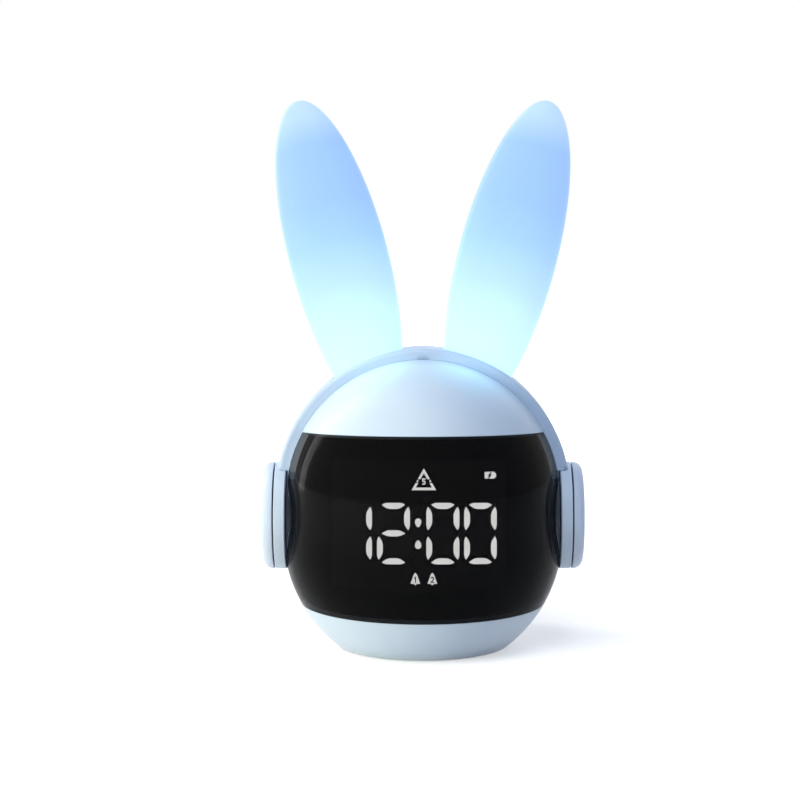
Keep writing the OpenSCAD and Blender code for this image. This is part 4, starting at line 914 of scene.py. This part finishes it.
def true_normals(made, close_to=0.05, same_way=0.96):
    """Give the corners that lie on the body's outer surface the normal of that exact surface."""
    mesh = made.data
    normals = [Vector(n.vector) for n in mesh.corner_normals]
    changed = 0
    for face in mesh.polygons:
        for corner in face.loop_indices:
            x, y, z = (c / MM for c in mesh.vertices[mesh.loops[corner].vertex_index].co)
            if abs(math.hypot(x, y) - body_radius(z)) > close_to:
                continue
            exact = body_normal(x, y, z)
            if exact.dot(face.normal) > same_way:
                normals[corner] = exact
                changed += 1
    mesh.normals_split_custom_set([tuple(n) for n in normals])
    print(made.name, "corners on the outer surface:", changed)


# %% Case, bow and plates
for shell in ("front_shell", "rear_shell"):
    true_normals(smooth_copy(shell, case_abs))
smooth_copy("headband", band_abs)
for plate in ("rear_plate", "base_plate"):
    weighted = smooth_copy(plate, case_abs).modifiers.new("flat_faces", "WEIGHTED_NORMAL")
    weighted.keep_sharp = True

# %% [markdown]
# ## Finishes of the other pieces
# Every other CAD piece has its final shape, so it only needs the finish of what it is made of.
# Families such as screws and leads are found by a word in their names.

# %% Finishes
finishes = {
    "digits_unlit": unlit, "display_block": black_abs, "display_board": green_board,
    "display_leds": lamp_resin, "ear_leds": lamp_resin, "main_board": green_board,
    "main_board_chips": chip_epoxy, "cup_switches": chip_epoxy, "button_switches": chip_epoxy,
    "power_switch": tin, "speaker_frame": black_abs, "speaker_cone": paper, "speaker_magnet": tin,
    "battery_tray": white_abs, "battery_pack": wrap}
families = {"screws": steel, "lead": lead_cover, "ear_clamp": white_abs, "ear_board": white_board,
            "cup_board": green_board, "cup_retainer": white_abs}
for family, material in families.items():
    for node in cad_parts:
        if family in node and node not in finishes:
            finishes[node] = material
for node, material in finishes.items():
    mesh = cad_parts[node].data
    mesh.materials.clear()
    mesh.materials.append(material)
    mesh.shade_smooth()
    mesh.set_sharp_from_angle(angle=math.radians(30))
print("finished in place:", len(finishes))

# %% [markdown]
# ## Camera
# The clock is seen from in front and a little above, through a long lens, which keeps the ears
# upright and the cups the same size. The shift moves the picture without turning the camera.

# %% Camera
camera_data = bpy.data.cameras.new("camera")
camera = bpy.data.objects.new("camera", camera_data)
bpy.context.scene.collection.objects.link(camera)
bpy.context.scene.camera = camera
camera.location = (0, -0.69635, 0.15195)
aim = Vector((0, 0, 0.0806))
camera.rotation_euler = (aim - camera.location).to_track_quat("-Z", "Y").to_euler()
camera_data.sensor_width = 36
camera_data.lens = 100.485
camera_data.shift_x = -0.02878
camera_data.shift_y = -0.01225
camera_data.clip_start = 0.01
camera_data.dof.use_dof = False
print("camera's distance in metres:", round((aim - camera.location).length, 3))

# %% [markdown]
# ## Floor
# The floor is plain, matt and pale. What the camera, a reflection or a clear piece sees of it
# is lifted towards white by an emission that starts at half near the clock, where its shadow
# lies, and is full further out. Other rays get only the light that the floor really sends back.


# %% Floor
def seen_directly(tree):
    """1 for rays from the camera, a reflection or a clear piece, and 0 for soft light."""
    rays = add(tree, "ShaderNodeLightPath")
    seen = add(tree, "ShaderNodeMath", {0: rays.outputs["Is Camera Ray"], 1: rays.outputs["Is Glossy Ray"]},
               operation="MAXIMUM")
    return add(tree, "ShaderNodeMath", {0: seen.outputs[0], 1: rays.outputs["Is Transmission Ray"]},
               operation="MAXIMUM").outputs[0]


SHADOW_NEAR, SHADOW_FAR = 0.12, 0.45  # metres from the clock where the lift starts to rise and is full

floor_material, tree, at = start("floor_matt_white")
away = add(tree, "ShaderNodeVectorMath", {0: at}, operation="LENGTH")
fade = add(tree, "ShaderNodeMapRange", {"Value": away.outputs["Value"], "From Min": SHADOW_NEAR,
                                        "From Max": SHADOW_FAR, "To Min": 0.5, "To Max": 1.0})
lift = add(tree, "ShaderNodeMath", {0: seen_directly(tree), 1: fade.outputs["Result"]}, operation="MULTIPLY")
mottle = add(tree, "ShaderNodeTexNoise", {"Vector": at, "Scale": per(40)})
matt = add(tree, "ShaderNodeValToRGB", {"Fac": mottle.outputs["Fac"]},
           stops=[(0.3, paint("f1efec")), (0.7, paint("f3f1ee"))])
close(tree, add(tree, "ShaderNodeBsdfPrincipled", {
    "Base Color": matt.outputs["Color"], "Roughness": 0.9, "Specular IOR Level": 0.0,
    "Emission Color": paint("ffffff"), "Emission Strength": lift.outputs[0]}))
bm = bmesh.new()
bmesh.ops.create_grid(bm, x_segments=1, y_segments=1, size=4)
floor_mesh = bpy.data.meshes.new("floor")
bm.to_mesh(floor_mesh)
bm.free()
floor_mesh.materials.append(floor_material)
floor = bpy.data.objects.new("floor", floor_mesh)
bpy.context.scene.collection.objects.link(floor)
print("floor:", floor.dimensions[0], "m wide")

# %% [markdown]
# ## Lamps
# A large warm lamp low on the left lights one side of the clock and lets the other fall into
# shade. A cool one above the front and one overhead keep the top bright, and one behind lifts
# the back and the rims. These four are hidden from the glossy window, and only a tall narrow
# strip on the left draws its line of light on it. Two tiny lamps stand for the ears' light that
# spills over the bow onto the top of the case.


# %% Lamps
def softbox(name, at, aim, width, height, watts, colour="ffffff", roll=0, mirrored=False):
    """A rectangular lamp that points at a spot on the clock, turned about its axis by roll."""
    data = bpy.data.lights.new(name, "AREA")
    data.shape = "RECTANGLE"
    data.size, data.size_y = width, height
    data.energy = watts
    data.color = paint(colour)[:3]
    lamp = bpy.data.objects.new(name, data)
    bpy.context.scene.collection.objects.link(lamp)
    lamp.location = at
    turn = (Vector(aim) - Vector(at)).to_track_quat("-Z", "Y").to_matrix()
    lamp.rotation_euler = (turn @ Matrix.Rotation(math.radians(roll), 3, "Z")).to_euler()
    lamp.visible_glossy = mirrored
    return lamp


softbox("key_left", (-0.95, -0.56, 0.2), (0, 0, 0.06), 0.6, 0.6, 12.2, "fff8da")
softbox("fill_front", (0.0, -0.5, 1.0), (0, 0, 0.06), 0.6, 0.6, 4.0, "e6f0ff")
softbox("top", (-0.1, -0.2, 1.0), (0, 0, 0.05), 0.7, 0.7, 2.0)
softbox("back", (0.35, 1.05, 0.4), (0, 0, 0.06), 0.9, 0.6, 3.2)
softbox("strip_left", (-0.706, 0.376, 0.42), (0, 0, 0.06), 0.16, 1.15, 2.5, mirrored=True)
for side in (-1, 1):
    spill = softbox("spill_%d" % (side + 1), (side * 0.017, -0.0135, 0.0955),
                    (side * 0.0162, -0.0155, 0.0865), 0.02, 0.003, 0.0009, "a9ecff", roll=side * 22)
    spill.visible_camera = False
print("lamps:", [lamp.name for lamp in bpy.data.lights])

# %% [markdown]
# ## Surround
# The room is white wherever it is seen or mirrored, and a dim blue grey for soft light, so that
# the lamps shape the clock. Standard keeps the colours as they were painted.

# %% Surround
world = bpy.data.worlds.new("studio")
bpy.context.scene.world = world
world.use_nodes = True
world.node_tree.nodes.clear()
tint = add(world.node_tree, "ShaderNodeValToRGB", {"Fac": seen_directly(world.node_tree)},
           stops=[(0.0, paint("58637a")), (1.0, paint("ffffff"))])
sky = add(world.node_tree, "ShaderNodeBackground", {"Color": tint.outputs["Color"], "Strength": 1.0})
add(world.node_tree, "ShaderNodeOutputWorld", {"Surface": sky.outputs[0]})
bpy.context.scene.view_settings.view_transform = "Standard"
print("surround:", world.name)
